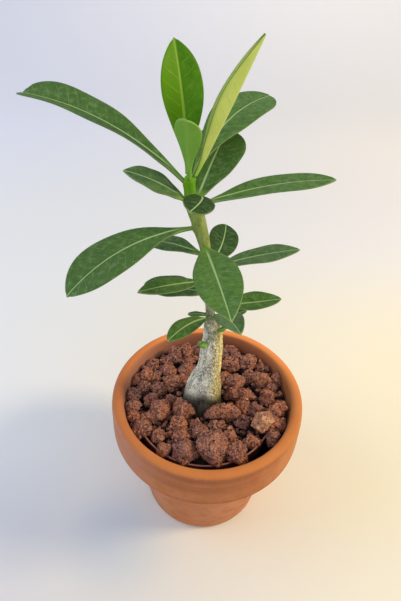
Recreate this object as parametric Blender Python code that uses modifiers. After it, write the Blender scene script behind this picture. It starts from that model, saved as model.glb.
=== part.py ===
"""Potted desert rose: clay pot, nursery liner, potting mix, lava stones, trunk, leaves and buds."""
import bpy
import bmesh
import math
import random
from mathutils import Euler, Vector

for old in list(bpy.data.objects):
    bpy.data.objects.remove(old, do_unlink=True)

MM = 0.001

# clay pot, an 11 cm banded-rim pot, upright on the world origin
POT_HEIGHT = 91.4
POT_RIM_R = 54.6
POT_BAND_H = 24.2
POT_BAND_FOOT_R = 55.3
POT_MOUTH_R = 48.5
POT_BODY_TOP_R = 46.6
POT_BASE_R = 37.1
POT_FLOOR = 7.0
POT_FOOT_WALL = 5.5
POT_SHOULDER_R = 42.8
POT_SHOULDER_Z = 60.0
POT_DRAIN_R = 4.0
POT_DRAIN_RING = 15.0
POT_DRAINS = 3
POT_STEPS = 48

# nursery pot standing inside the clay pot, a little left and forward
LINER_X = -1.5
LINER_Y = -2.6
LINER_FOOT_Z = 7.3
LINER_RIM_Z = 82.0
LINER_RIM_R = 40.3
LINER_FOOT_R = 28.0
LINER_WALL = 1.2
LINER_RIM_DROP = 8.0
LINER_HOLE_R = 6.0
LINER_DRAIN_R = 3.0
LINER_DRAIN_RING = 17.0
LINER_DRAINS = 4
LINER_STEPS = 40

# potting mix and lava cover
SOIL_TOP = 72.0
SOIL_STEPS = 36
BED_FOOT = 72.4
BED_TOP = 77.5
BED_R = 38.5
FILL_FOOT = 68.0
FILL_TOP = 80.0
FILL_R = 49.5
FILL_FROM = -36.0
FILL_SWEEP = 252.0
FILL_STEPS = 28
STONE_Z = 81.0
STONE_JITTER = 0.18
STONE_SEED = 40
HULL_GROW = 1.10
SMALL_POINTS = 17
LARGE_POINTS = 26
GOLDEN_TURN = math.pi * (3 - math.sqrt(5))
RIM_STONES = 22
RIM_FROM = -33.0
RIM_SWEEP = 246.0
RIM_LIFT = 2.2
GRID_HALF = 6
GRID_X = 8.0
GRID_Y = 7.2
GRID_R = 44.0
GRID_FRONT_R = 33.0
GRID_FRONT = (218.0, 322.0)
TRUNK_RING = 13.5
SPREAD_SEED = 11
CLEAR = 0.35

# plant
TRUNK_SIDES = 16
LOBES_FROM = 60.0
LOBES_TO = 136.0
PETIOLE_R = 0.95
PETIOLE_TIP_R = 0.35
LEAF_ROOT_R = 2.1
LEAF_GAP = 0.32
LEAF_STEPS = 200
BASE_SHARE = 0.22
BLADE_EDGE = 0.6
BUD_SIDES = 10

collection = bpy.data.collections.new("potted_desert_rose")
cutters = bpy.data.collections.new("cutters")
for group in (collection, cutters):
    bpy.context.scene.collection.children.link(group)


def material(name, colour, roughness):
    mat = bpy.data.materials.new(name)
    mat.use_nodes = True
    shader = mat.node_tree.nodes["Principled BSDF"]
    shader.inputs["Base Color"].default_value = (*colour, 1.0)
    shader.inputs["Roughness"].default_value = roughness
    mat.diffuse_color = (*colour, 1.0)
    return mat


CLAY = material("clay", (0.55, 0.22, 0.09), 0.85)
LINER = material("liner_plastic", (0.16, 0.06, 0.04), 0.45)
MIX = material("potting_mix", (0.05, 0.035, 0.03), 0.95)
LAVA = material("lava", (0.20, 0.07, 0.05), 0.95)
TAN = material("tan_stone", (0.42, 0.28, 0.20), 0.9)
BARK = material("bark", (0.42, 0.42, 0.32), 0.8)
LEAF = material("leaf_green", (0.07, 0.16, 0.05), 0.5)
YOUNG = material("young_leaf", (0.20, 0.40, 0.05), 0.45)
PALE = material("pale_leaf", (0.55, 0.60, 0.22), 0.5)
BUD = material("bud_green", (0.20, 0.34, 0.07), 0.5)


def add_object(name, mesh, mat, target=None):
    obj = bpy.data.objects.new(name, mesh)
    (target or collection).objects.link(obj)
    mesh.materials.append(mat)
    return obj


def mesh_from(name, verts, faces):
    mesh = bpy.data.meshes.new(name)
    bm = bmesh.new()
    made = [bm.verts.new((v[0] * MM, v[1] * MM, v[2] * MM)) for v in verts]
    for face in faces:
        bm.faces.new([made[i] for i in face])
    bmesh.ops.recalc_face_normals(bm, faces=bm.faces)
    bm.to_mesh(mesh)
    bm.free()
    return mesh


def turned(name, profile, steps, mat, closed, centre=(0.0, 0.0), target=None):
    """Profile in (radius, height), top to bottom down the outside, swept about the vertical."""
    mesh = bpy.data.meshes.new(name)
    verts = [(r * MM, 0.0, z * MM) for r, z in profile]
    edges = [(i, i + 1) for i in range(len(profile) - 1)]
    if closed:
        edges.append((len(profile) - 1, 0))
    mesh.from_pydata(verts, edges, [])
    obj = add_object(name, mesh, mat, target)
    screw = obj.modifiers.new("turn", "SCREW")
    screw.axis = "Z"
    screw.angle = math.tau
    screw.steps = steps
    screw.render_steps = steps
    screw.use_merge_vertices = True
    screw.merge_threshold = 0.00001
    screw.use_normal_calculate = True
    obj.location = (centre[0] * MM, centre[1] * MM, 0.0)
    return obj


def bake(obj):
    """Apply the modifiers and the placement, keep the mesh."""
    bpy.context.view_layer.update()
    graph = bpy.context.evaluated_depsgraph_get()
    mesh = bpy.data.meshes.new_from_object(obj.evaluated_get(graph))
    mesh.transform(obj.matrix_world)
    obj.modifiers.clear()
    obj.data = mesh
    obj.matrix_world.identity()
    obj.location = (0, 0, 0)
    obj.rotation_euler = (0, 0, 0)
    obj.scale = (1, 1, 1)
    bm = bmesh.new()
    bm.from_mesh(mesh)
    bmesh.ops.recalc_face_normals(bm, faces=bm.faces)
    bm.to_mesh(mesh)
    bm.free()


def carve(obj, cutter, operation="DIFFERENCE"):
    mod = obj.modifiers.new(cutter.name, "BOOLEAN")
    mod.operation = operation
    mod.solver = "EXACT"
    mod.object = cutter
    cutter.hide_render = True
    cutter.display_type = "WIRE"
    bake(obj)
    bpy.data.objects.remove(cutter, do_unlink=True)


def drill(obj, x, y, z, radius):
    """An upright drainage hole through a floor."""
    bpy.ops.mesh.primitive_cylinder_add(vertices=12, radius=radius * MM, depth=12.0 * MM,
                                        location=(x * MM, y * MM, z * MM))
    hole = bpy.context.active_object
    hole.name = "drain"
    for home in list(hole.users_collection):
        home.objects.unlink(hole)
    cutters.objects.link(hole)
    carve(obj, hole)


def loft(name, rings, mat, target=None):
    """Closed body through rings of equal point count."""
    count = len(rings[0])
    verts = [p for ring in rings for p in ring]
    faces = [list(range(count))[::-1]]
    for k in range(len(rings) - 1):
        for i in range(count):
            j = (i + 1) % count
            faces.append([k * count + i, k * count + j, (k + 1) * count + j, (k + 1) * count + i])
    last = (len(rings) - 1) * count
    faces.append([last + i for i in range(count)])
    return add_object(name, mesh_from(name, verts, faces), mat, target)


# ---------------------------------------------------------------- clay pot
band_foot = POT_HEIGHT - POT_BAND_H
inner_foot = POT_BASE_R - POT_FOOT_WALL
pot_profile = [
    (0.0, POT_FLOOR),
    (inner_foot, POT_FLOOR),
    (inner_foot + 1.4, POT_FLOOR + 2.0),
    (POT_SHOULDER_R, POT_SHOULDER_Z),
    (POT_MOUTH_R - 2.1, band_foot + 4.0),
    (POT_MOUTH_R - 0.4, POT_HEIGHT - 6.0),
    (POT_MOUTH_R, POT_HEIGHT - 2.6),
    (POT_MOUTH_R + 0.8, POT_HEIGHT - 0.7),
    (POT_MOUTH_R + 2.6, POT_HEIGHT),
    (POT_RIM_R - 1.4, POT_HEIGHT - 0.5),
    (POT_RIM_R - 0.2, POT_HEIGHT - 1.9),
    (POT_RIM_R + 0.3, POT_HEIGHT - 5.0),
    (POT_BAND_FOOT_R + 0.1, band_foot + 5.0),
    (POT_BAND_FOOT_R, band_foot + 1.2),
    (POT_BAND_FOOT_R - 1.2, band_foot),
    (POT_BODY_TOP_R + 1.0, band_foot - 0.3),
    (POT_BODY_TOP_R, band_foot - 1.6),
    (POT_BASE_R + 0.9, 2.5),
    (POT_BASE_R, 0.6),
    (POT_BASE_R - 1.0, 0.0),
    (0.0, 0.0),
]
pot = turned("clay_pot", pot_profile, POT_STEPS, CLAY, False)
bake(pot)
for k in range(POT_DRAINS):
    turn = math.tau * k / POT_DRAINS + math.radians(90)
    drill(pot, POT_DRAIN_RING * math.cos(turn), POT_DRAIN_RING * math.sin(turn), POT_FLOOR / 2, POT_DRAIN_R)

# ------------------------------------------------------------- nursery pot
liner_profile = [
    (LINER_RIM_R - 0.4, LINER_RIM_Z),
    (LINER_RIM_R, LINER_RIM_Z - 0.5),
    (LINER_RIM_R, LINER_RIM_Z - 2.4),
    (LINER_RIM_R - 0.3, LINER_RIM_Z - 2.8),
    (LINER_RIM_R - 1.2, LINER_RIM_Z - LINER_RIM_DROP),
    (LINER_FOOT_R, LINER_FOOT_Z + 1.0),
    (LINER_FOOT_R - 1.0, LINER_FOOT_Z),
    (LINER_HOLE_R, LINER_FOOT_Z),
    (LINER_HOLE_R, LINER_FOOT_Z + LINER_WALL),
    (LINER_FOOT_R - 1.6, LINER_FOOT_Z + LINER_WALL),
    (LINER_FOOT_R - 1.2, LINER_FOOT_Z + 2.2),
    (LINER_RIM_R - 2.4, LINER_RIM_Z - LINER_RIM_DROP),
    (LINER_RIM_R - 1.3, LINER_RIM_Z - 0.6),
    (LINER_RIM_R - 1.0, LINER_RIM_Z),
]
liner = turned("nursery_pot", liner_profile, LINER_STEPS, LINER, True, (LINER_X, LINER_Y))
bake(liner)
for k in range(LINER_DRAINS):
    turn = math.tau * (k + 0.5) / LINER_DRAINS
    drill(liner, LINER_X + LINER_DRAIN_RING * math.cos(turn), LINER_Y + LINER_DRAIN_RING * math.sin(turn),
          LINER_FOOT_Z, LINER_DRAIN_R)

# ------------------------------------------------------------ trunk and stem
# height, centre x, centre y, half width x, half width y
TRUNK = [
    (28.0, -3.5, 0.5, 1.2, 1.2),
    (36.0, -3.2, 0.3, 3.2, 3.2),
    (48.0, -2.8, 0.0, 6.4, 6.4),
    (60.0, -2.6, 0.0, 9.0, 9.0),
    (70.0, -2.5, 0.0, 10.2, 10.2),
    (78.0, -2.9, 0.0, 11.4, 11.0),
    (85.0, -2.8, 0.0, 11.1, 10.7),
    (91.0, -2.4, 0.0, 10.3, 10.1),
    (95.0, -2.1, 0.0, 9.8, 9.6),
    (99.0, -1.7, 0.0, 8.8, 8.7),
    (103.0, -1.2, 0.0, 7.8, 7.7),
    (107.0, -0.3, 0.0, 6.9, 6.9),
    (114.0, 0.4, 0.0, 6.1, 6.1),
    (122.0, 0.6, 0.0, 5.9, 5.8),
    (130.0, 0.8, 0.0, 5.2, 5.1),
    (136.0, 0.6, 0.0, 4.8, 4.6),
    (139.5, 0.0, 0.0, 4.2, 4.0),
    (142.0, -0.6, 0.0, 3.0, 2.9),
    (145.0, -0.9, 0.0, 2.3, 2.3),
    (154.0, -1.9, 0.0, 2.15, 2.15),
    (164.0, -2.9, 0.0, 2.15, 2.15),
    (174.0, -4.0, 0.0, 2.2, 2.2),
    (183.5, -5.2, 0.0, 2.4, 2.4),
    (188.5, -6.3, 0.0, 2.8, 2.7),
    (193.0, -7.6, 0.0, 3.1, 3.0),
    (197.5, -8.8, 0.0, 3.3, 3.2),
    (201.0, -10.0, 0.0, 3.4, 3.3),
    (204.5, -11.4, 0.0, 2.9, 2.8),
    (208.5, -12.3, 0.0, 2.4, 2.3),
    (212.5, -12.6, 0.0, 2.3, 2.2),
    (214.8, -12.6, 0.0, 2.1, 2.0),
    (215.6, -12.6, 0.0, 1.7, 1.6),
]
APEX = TRUNK[-1][0]


def trunk_rings(grow, upto=1000.0):
    rings = []
    for k, (z, cx, cy, rx, ry) in enumerate(TRUNK):
        if z > upto:
            break
        ring = []
        for i in range(TRUNK_SIDES):
            a = math.tau * i / TRUNK_SIDES
            lobe = 0.0
            if LOBES_FROM < z < LOBES_TO:
                lobe = 0.035 * math.sin(3 * a + 0.05 * z) + 0.02 * math.sin(5 * a + 1.3)
            ring.append((cx + (rx * (1 + lobe) + grow) * math.cos(a),
                         cy + (ry * (1 + lobe) + grow) * math.sin(a), z))
        rings.append(ring)
    return rings


stem = loft("stem", trunk_rings(0.0), BARK)


def at_height(z):
    """Centre and radius of the stem at a height."""
    for low, high in zip(TRUNK, TRUNK[1:]):
        if low[0] <= z <= high[0]:
            f = (z - low[0]) / (high[0] - low[0])
            mix = [a + (b - a) * f for a, b in zip(low, high)]
            return mix[1], mix[2], (mix[3] + mix[4]) / 2
    return TRUNK[-1][1], TRUNK[-1][2], TRUNK[-1][3]


# ----------------------------------------------------------------- potting mix
soil_profile = [
    (0.0, SOIL_TOP),
    (LINER_RIM_R - 4.6, SOIL_TOP - 0.6),
    (LINER_FOOT_R - 2.2, LINER_FOOT_Z + LINER_WALL + 1.2),
    (0.0, LINER_FOOT_Z + LINER_WALL + CLEAR),
]
soil = turned("soil", soil_profile, SOIL_STEPS, MIX, False, (LINER_X, LINER_Y))
bake(soil)
cut_rings = trunk_rings(CLEAR, 80.0)
cut_rings.insert(0, [(p[0], p[1], p[2] - 0.4) for p in cut_rings[0]])
carve(soil, loft("root_room", cut_rings, MIX, cutters))

# ----------------------------------------------------------------- lava stones
# x, y, width, height, lift above the common level
PLACED = [
    (-14, -9, 13.0, 11.5, 2.0), (-27, -10, 11.0, 13.0, 1.5), (-33, -3, 9.5, 10.5, 1.0),
    (-29, 6, 9.5, 8.0, 0.5), (-21, -1, 7.0, 6.5, 0.5), (-35, -23, 10.0, 11.0, 1.5),
    (-41, -14, 7.5, 7.5, 1.0), (-26, -26, 8.0, 7.5, 0.5), (-22, -33, 8.0, 9.0, 0.5),
    (-16, -18, 9.5, 9.0, 1.0), (-14, -26, 9.0, 8.5, 1.0), (-11, -34, 12.0, 12.0, 1.5),
    (-6, -18, 8.0, 7.5, 0.5), (-4, -24, 9.5, 6.0, 1.0), (3, -32, 15.5, 17.0, 3.5),
    (6, -18, 9.0, 7.5, 0.5), (13, -25, 8.5, 9.0, 1.0), (16, -33.5, 11.0, 12.0, 1.5),
    (15, 4, 9.0, 9.0, 1.0), (23, 4, 10.0, 9.0, 1.0), (21, -4, 9.5, 8.5, 0.5),
    (28, -6, 8.5, 9.5, 0.5), (20, -15, 9.0, 7.5, 0.5), (25, -27, 8.5, 8.0, 0.0),
    (36, -25, 8.0, 9.5, 1.5), (41, -17, 8.0, 8.5, 1.5), (36, 2, 9.5, 10.5, 1.5),
    (42, -5, 9.5, 11.0, 1.5), (15, 40, 10.5, 10.0, 1.5), (15, 27, 12.5, 10.5, 1.5),
    (28, 33, 9.5, 9.5, 1.5), (34, 26, 8.0, 9.0, 1.0), (26, 19, 10.0, 9.0, 0.5),
    (17, 14, 12.0, 9.0, 1.0), (43, 16, 8.0, 10.0, 1.5), (38, 10, 8.5, 8.0, 1.0),
    (-16, 40, 9.5, 8.0, 1.5), (-11, 32, 9.5, 7.5, 1.0), (-26, 29, 9.0, 8.0, 1.0),
    (-35, 25, 9.0, 9.0, 1.0), (-24, 20, 11.5, 7.5, 1.0), (-12, 22, 11.5, 8.0, 1.0),
    (-33, 13, 8.5, 8.0, 0.5), (-42, 12, 8.5, 8.5, 1.5), (-22, 11, 10.5, 11.0, 1.0),
    (-38, 6, 8.0, 9.0, 1.0), (-43, 0, 8.0, 8.5, 1.5),
]
FLAT_STONE = (8.5, -12.5, 19.0, 9.5, 6.0)
FLAT_DEPTH = 9.5
PALE_STONE = (30.5, -18.5, 11.0, 10.4, 7.0)
PALE_SEED = 5
PALE_CLEAR = 0.45


def stone(name, x, y, z, width, height, seed, mat, target, grow=0.0, depth=None):
    """An angular lump: the hull of jittered points spread evenly over a ball."""
    rng = random.Random(seed)
    count = SMALL_POINTS if width < 11.0 else LARGE_POINTS
    width, height = width * HULL_GROW, height * HULL_GROW
    half = Vector((width / 2 + grow, (depth or (width + height) / 2) / 2 + grow, height / 2 + grow))
    turn = 0.0 if depth else rng.uniform(0.0, math.tau)
    tilt = rng.uniform(-0.35, 0.35)
    bm = bmesh.new()
    for k in range(count):
        up = 1 - (2 * k + 1) / count
        around = k * GOLDEN_TURN + rng.uniform(-0.3, 0.3)
        reach = 1.0 + rng.uniform(-STONE_JITTER, STONE_JITTER)
        flat = math.sqrt(1 - up * up)
        p = Vector((flat * math.cos(around), flat * math.sin(around), up)) * reach
        p = Vector((p.x * half.x, p.y * half.y, p.z * half.z))
        p.rotate(Euler((0.0, tilt, turn)))
        bm.verts.new((Vector((x, y, z)) + p) * MM)
    bmesh.ops.convex_hull(bm, input=bm.verts)
    loose = [v for v in bm.verts if not v.link_faces]
    bmesh.ops.delete(bm, geom=loose, context="VERTS")
    bmesh.ops.recalc_face_normals(bm, faces=bm.faces)
    mesh = bpy.data.meshes.new(name)
    bm.to_mesh(mesh)
    bm.free()
    return add_object(name, mesh, mat, target)


def stone_list():
    """The stones set by hand, then the rest on a jittered grid wherever there is room."""
    stones = [(x, y, STONE_Z + lift, w, h, None) for x, y, w, h, lift in PLACED]
    x, y, w, h, lift = FLAT_STONE
    stones.append((x, y, STONE_Z + lift, w, h, FLAT_DEPTH))
    taken = [(s[0], s[1], s[3]) for s in stones]
    taken.append((PALE_STONE[0], PALE_STONE[1], PALE_STONE[2]))
    rng = random.Random(SPREAD_SEED)
    for k in range(RIM_STONES):
        turn = math.radians(RIM_FROM + RIM_SWEEP * k / (RIM_STONES - 1))
        ring = LINER_RIM_R + rng.uniform(-1.2, 1.2)
        gx, gy = LINER_X + ring * math.cos(turn), LINER_Y + ring * math.sin(turn)
        size = rng.uniform(9.0, 11.5)
        if all(math.hypot(gx - t[0], gy - t[1]) > 0.22 * (size + t[2]) for t in taken):
            taken.append((gx, gy, size))
            stones.append((gx, gy, STONE_Z + RIM_LIFT + rng.uniform(-0.5, 0.8), size, size * 0.9, None))
    for row in range(-GRID_HALF, GRID_HALF + 1):
        for col in range(-GRID_HALF, GRID_HALF + 1):
            gx = GRID_X * (col + 0.5 * (row % 2)) + rng.uniform(-1.5, 1.5)
            gy = GRID_Y * row + rng.uniform(-1.5, 1.5)
            size = rng.uniform(7.0, 10.0)
            lift = rng.uniform(-1.0, 1.0)
            reach = math.hypot(gx, gy)
            angle = math.degrees(math.atan2(gy, gx)) % 360
            front = GRID_FRONT[0] < angle < GRID_FRONT[1]
            if reach > GRID_R or (front and reach > GRID_FRONT_R):
                continue
            if math.hypot(gx + 2.4, gy) < TRUNK_RING:
                continue
            if any(math.hypot(gx - t[0], gy - t[1]) < 0.36 * (size + t[2]) for t in taken):
                continue
            taken.append((gx, gy, size))
            stones.append((gx, gy, STONE_Z + lift, size, size * 0.9, None))
    return stones


# bed inside the liner, and the arc of fill between liner and clay
bed = turned("lava_stones", [(0.0, BED_TOP), (BED_R, BED_TOP), (BED_R, BED_FOOT), (0.0, BED_FOOT)],
             SOIL_STEPS, LAVA, False, (LINER_X, LINER_Y))
bake(bed)
pieces = bpy.data.collections.new("stone_pieces")
bpy.context.scene.collection.children.link(pieces)
arc_rings = []
for k in range(FILL_STEPS + 1):
    a = math.radians(FILL_FROM + FILL_SWEEP * k / FILL_STEPS)
    ring = []
    for r, z in ((BED_R, FILL_TOP), (FILL_R, FILL_TOP + 1.0), (FILL_R, FILL_FOOT), (BED_R, FILL_FOOT)):
        ring.append((r * math.cos(a), r * math.sin(a), z))
    arc_rings.append(ring)
loft("gap_fill", arc_rings, LAVA, pieces)
for i, (x, y, z, w, h, d) in enumerate(stone_list()):
    stone("stone_%02d" % i, x, y, z, w, h, STONE_SEED + i, LAVA, pieces, 0.0, d)
join = bed.modifiers.new("join", "BOOLEAN")
join.operation = "UNION"
join.solver = "EXACT"
join.operand_type = "COLLECTION"
join.collection = pieces
bake(bed)
for piece in list(pieces.objects):
    bpy.data.objects.remove(piece, do_unlink=True)
bpy.data.collections.remove(pieces)

# room for the liner wall, the trunk, the pale stone and the clay wall
wall_room = turned("wall_room", [(LINER_RIM_R + CLEAR, LINER_RIM_Z + CLEAR), (LINER_RIM_R + CLEAR, 78.0),
                                 (LINER_RIM_R - 0.6, 60.0), (LINER_RIM_R - 4.4, 60.0),
                                 (LINER_RIM_R - 2.8, 74.0), (LINER_RIM_R - 1.7, LINER_RIM_Z + CLEAR)],
                   LINER_STEPS, LAVA, True, (LINER_X, LINER_Y), cutters)
bake(wall_room)
carve(bed, wall_room)
cut_rings = [ring for ring in trunk_rings(CLEAR, 104.0) if ring[0][2] > 58.0]
carve(bed, loft("trunk_room", cut_rings, LAVA, cutters))
px, py, pw, ph, plift = PALE_STONE
carve(bed, stone("pale_room", px, py, STONE_Z + plift, pw, ph, PALE_SEED, LAVA, cutters, PALE_CLEAR))
cavity = turned("cavity", [(0.0, 96.0), (POT_MOUTH_R - 0.75, 96.0), (POT_MOUTH_R - 0.75, POT_HEIGHT - 6.0),
                           (POT_MOUTH_R - 2.1 - CLEAR, band_foot + 4.0),
                           (POT_SHOULDER_R - CLEAR, POT_SHOULDER_Z), (0.0, POT_SHOULDER_Z)],
                POT_STEPS, LAVA, False, target=cutters)
bake(cavity)
carve(bed, cavity, "INTERSECT")


def keep_largest(obj):
    """Drop crumbs that the cuts left loose."""
    bm = bmesh.new()
    bm.from_mesh(obj.data)
    bm.verts.ensure_lookup_table()
    seen = set()
    groups = []
    for v in bm.verts:
        if v.index in seen:
            continue
        stack = [v]
        group = []
        seen.add(v.index)
        while stack:
            w = stack.pop()
            group.append(w)
            for e in w.link_edges:
                o = e.other_vert(w)
                if o.index not in seen:
                    seen.add(o.index)
                    stack.append(o)
        groups.append(group)
    groups.sort(key=len, reverse=True)
    for group in groups[1:]:
        bmesh.ops.delete(bm, geom=group, context="VERTS")
    bm.to_mesh(obj.data)
    bm.free()


keep_largest(bed)
stone("pale_stone", px, py, STONE_Z + plift, pw, ph, PALE_SEED, TAN, collection)

# --------------------------------------------------------------------- leaves
# height on the stem, heading, rise, bend, sway, length, width, fold, roll, base and tip fullness
LEAVES = [
    ("leaf_01", 213.0, 160, 38, -35, 6, 74.5, 20.5, 19, -6, 1.3, 0.35, LEAF),
    ("leaf_02", 216.3, 120, 84, -14, 8, 45, 16.5, 15, -16, 1.75, 0.9, YOUNG),
    ("leaf_03", 215.0, 266, 78, -38, 4, 30, 10, 7, -14, 1.8, 0.65, YOUNG),
    ("leaf_04", 216.0, 2, 64.5, 2, 0, 51.5, 13, 48, 0, 1.5, 1.15, PALE),
    ("leaf_05", 213.0, 70, 37.5, -33, -27, 65, 24, 5, 6, 1.7, 0.6, LEAF),
    ("leaf_06", 203.5, 67, 44, -22, 2, 39, 24.5, 6, 6, 1.2, 0.5, LEAF),
    ("leaf_07", 203.5, 19, 16.5, -13, -21, 57.5, 17.5, 4, 2, 1.4, 0.8, LEAF),
    ("leaf_08", 206.0, 195, 42, -25.5, -2, 27.5, 12.5, 5, -20, 1.15, 0.93, LEAF),
    ("leaf_09", 207.5, 297, 31, -30, -52, 35, 11, 2, -16, 1.65, 0.5, LEAF),
    ("leaf_10", 194.0, 192.5, -3, -26, 40, 60, 24, 4, -6, 1.55, 0.89, LEAF),
    ("leaf_11", 180.5, 160, 14, -38, -18, 30, 14, 3, -2, 1.05, 0.6, LEAF),
    ("leaf_12", 174.0, 69, -7, 14, 18, 43, 16, 3, 15, 1.2, 0.57, LEAF),
    ("leaf_13", 174.0, 4, 21, -12, -2, 40, 13.5, 4, 1, 1.3, 0.78, LEAF),
    ("leaf_14", 186.0, 280, 8, -6, -1, 55, 18.5, 7, 12, 1.05, 0.9, LEAF),
    ("leaf_15", 167.0, 211, 15, -13.5, -1, 33, 11.5, 3, -4, 1.33, 0.95, LEAF),
    ("leaf_16", 159.5, 166, 2, -10, 0, 31, 18, 6, 0, 0.9, 0.7, LEAF),
    ("leaf_17", 152.0, 8, 1.5, 6, 0, 33.5, 12.2, 15, 11, 1.3, 0.87, LEAF),
    ("leaf_18", 146.0, 294, 50, -42, -9, 38, 12, 14, 12, 1.33, 0.82, LEAF),
    ("leaf_19", 145.0, 231, 35, -49, 1, 30, 10, 3, -6, 1.28, 0.74, LEAF),
    ("leaf_20", 146.5, 165, -18, 8, 0, 10, 4, 8, 0, 1.2, 0.7, LEAF),
    ("leaf_21", 145.5, 22, -14, 20, 0, 18, 5, 8, 0, 1.2, 0.7, LEAF),
]
STATIONS = (0.0, 0.09, 0.2, 0.32, 0.45, 0.57, 0.69, 0.8, 0.89, 0.955, 1.0)


def leaf_line(row):
    """Points, headings and rises along the midrib."""
    _, z, az, rise, bend, sway, length = row[:7]
    cx, cy, r = at_height(min(z, APEX))
    r = max(r, LEAF_ROOT_R)
    x = cx + 0.9 * r * math.cos(math.radians(az))
    y = cy + 0.9 * r * math.sin(math.radians(az))
    here = Vector((x, y, z))
    line = []
    for k in range(LEAF_STEPS + 1):
        s = k / LEAF_STEPS
        ph = math.radians(rise + bend * s)
        hd = math.radians(az + sway * s)
        d = Vector((math.cos(ph) * math.cos(hd), math.cos(ph) * math.sin(hd), math.sin(ph)))
        line.append((s, here.copy(), d, hd))
        here = here + d * (length / LEAF_STEPS)
    return line


def free_of_stem(p, d):
    """True where a petiole at p, running along d, no longer touches the stem."""
    if p.z - PETIOLE_R * math.sqrt(max(0.0, 1 - d.z * d.z)) > APEX + 0.3:
        return True
    if p.z > APEX + 0.3 + PETIOLE_R:
        return True
    cx, cy, r = at_height(min(p.z, APEX))
    lean = PETIOLE_R * abs(d.z)
    return math.hypot(p.x - cx, p.y - cy) > r + LEAF_GAP + lean


def leaf(row):
    """A ribbed blade on its petiole: twelve-point rings, folded along the midrib."""
    name, length, width, fold, roll, full, tip, mat = (row[0], row[6], row[7], row[8], row[9], row[10],
                                                       row[11], row[12])
    line = leaf_line(row)
    start = next(k for k, (s, p, d, h) in enumerate(line) if free_of_stem(p, d))
    s0 = line[start][0]
    peak = full / (full + tip)
    top = peak ** full * (1 - peak) ** tip
    f, r = math.radians(fold), math.radians(roll)
    rings = []
    for share in STATIONS:
        s = s0 + (1 - s0) * share
        _, p, d, h = line[min(LEAF_STEPS, round(s * LEAF_STEPS))]
        flat = Vector((-math.sin(h), math.cos(h), 0.0))
        face = d.cross(flat)
        side = flat * math.cos(r) + face * math.sin(r)
        face = d.cross(side)
        blade = width / 2 * (s ** full) * ((1 - s) ** tip) / top
        stalk = PETIOLE_R * (1 - s) + PETIOLE_TIP_R * s
        w = math.hypot(blade, stalk)
        body = max(0.0, 1 - share / BASE_SHARE)
        edge = BLADE_EDGE / 2 + 0.35 * body
        core = edge + 0.15 + 0.1 * body
        rib = (0.6 * (1 - share) + 0.08) * (1 - body)
        rw = min(1.0, 0.4 * w)
        lift = math.sin(f) * (1 - 0.6 * body)

        def point(u, t):
            across = u * w * math.cos(f)
            return p + side * across + face * (lift * abs(u) ** 1.3 * w + t)

        ring = [point(u, edge if abs(u) == 1 else core) for u in (-1, -0.5, 0, 0.5, 1)]
        ring += [point(1, -edge), point(0.5, -core), point(rw / w, -core - 0.3 * rib), point(0, -core - rib),
                 point(-rw / w, -core - 0.3 * rib), point(-0.5, -core), point(-1, -edge)]
        rings.append([tuple(q) for q in ring])
    count = 12
    verts = [q for ring in rings for q in ring]
    faces = [list(range(count))]
    for k in range(len(rings) - 1):
        a, b = k * count, (k + 1) * count
        for i in range(count):
            j = (i + 1) % count
            if i < 5 or i == 11:
                faces += [[a + i, a + j, b + j], [a + i, b + j, b + i]]
            else:
                faces += [[a + i, a + j, b + i], [a + j, b + j, b + i]]
    last = (len(rings) - 1) * count
    faces.append([last + i for i in range(count)][::-1])
    add_object(name, mesh_from(name, verts, faces), mat)


for row in LEAVES:
    leaf(row)

# ----------------------------------------------------------------------- buds
# foot, pointing direction, length, thickness
BUDS = [
    ("bud_1", (-3.1, -4.2, 130.3), (-0.55, -0.62, 0.56), 5.5, 4.0),
    ("bud_2", (3.75, -2.85, 139.3), (0.55, -0.45, 0.70), 6.0, 3.8),
]
# share of the length, share of the girth
BUD_FORM = ((0.0, 0.35), (0.15, 0.75), (0.38, 1.0), (0.62, 0.85), (0.85, 0.42), (1.0, 0.12))
BUD_FLAT = 0.7


def bud(name, foot, heading, length, thick):
    axis = Vector(heading).normalized()
    side = axis.cross(Vector((0, 0, 1))).normalized()
    face = side.cross(axis) * BUD_FLAT
    rings = []
    for share, girth in BUD_FORM:
        middle = Vector(foot) + axis * (share * length)
        ring = []
        for i in range(BUD_SIDES):
            turn = math.tau * i / BUD_SIDES
            ring.append(tuple(middle + (side * math.cos(turn) + face * math.sin(turn)) * (thick / 2 * girth)))
        rings.append(ring)
    loft(name, rings, BUD)


for row in BUDS:
    bud(*row)
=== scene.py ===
import random
from math import atan2, ceil, cos, degrees, exp, hypot, pi, radians, sin, sqrt, tan, tau

import bmesh
import bpy
import numpy as np
from mathutils import Euler, Matrix, Vector, noise


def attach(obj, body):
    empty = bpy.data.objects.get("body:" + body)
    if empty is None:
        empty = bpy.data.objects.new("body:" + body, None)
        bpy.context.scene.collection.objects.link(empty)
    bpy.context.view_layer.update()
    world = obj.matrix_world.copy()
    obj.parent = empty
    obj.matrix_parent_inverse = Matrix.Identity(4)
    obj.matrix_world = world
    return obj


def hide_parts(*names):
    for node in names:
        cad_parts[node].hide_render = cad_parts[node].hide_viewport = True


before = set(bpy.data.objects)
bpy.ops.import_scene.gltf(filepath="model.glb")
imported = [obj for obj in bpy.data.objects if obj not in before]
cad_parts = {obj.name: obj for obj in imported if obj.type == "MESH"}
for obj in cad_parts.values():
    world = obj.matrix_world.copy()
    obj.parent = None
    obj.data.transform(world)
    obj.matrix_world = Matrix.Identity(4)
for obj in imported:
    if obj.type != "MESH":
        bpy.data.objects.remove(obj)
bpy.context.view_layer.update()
mm = 0.001
scene = bpy.context.scene
scene.view_settings.view_transform = "Standard"

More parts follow.
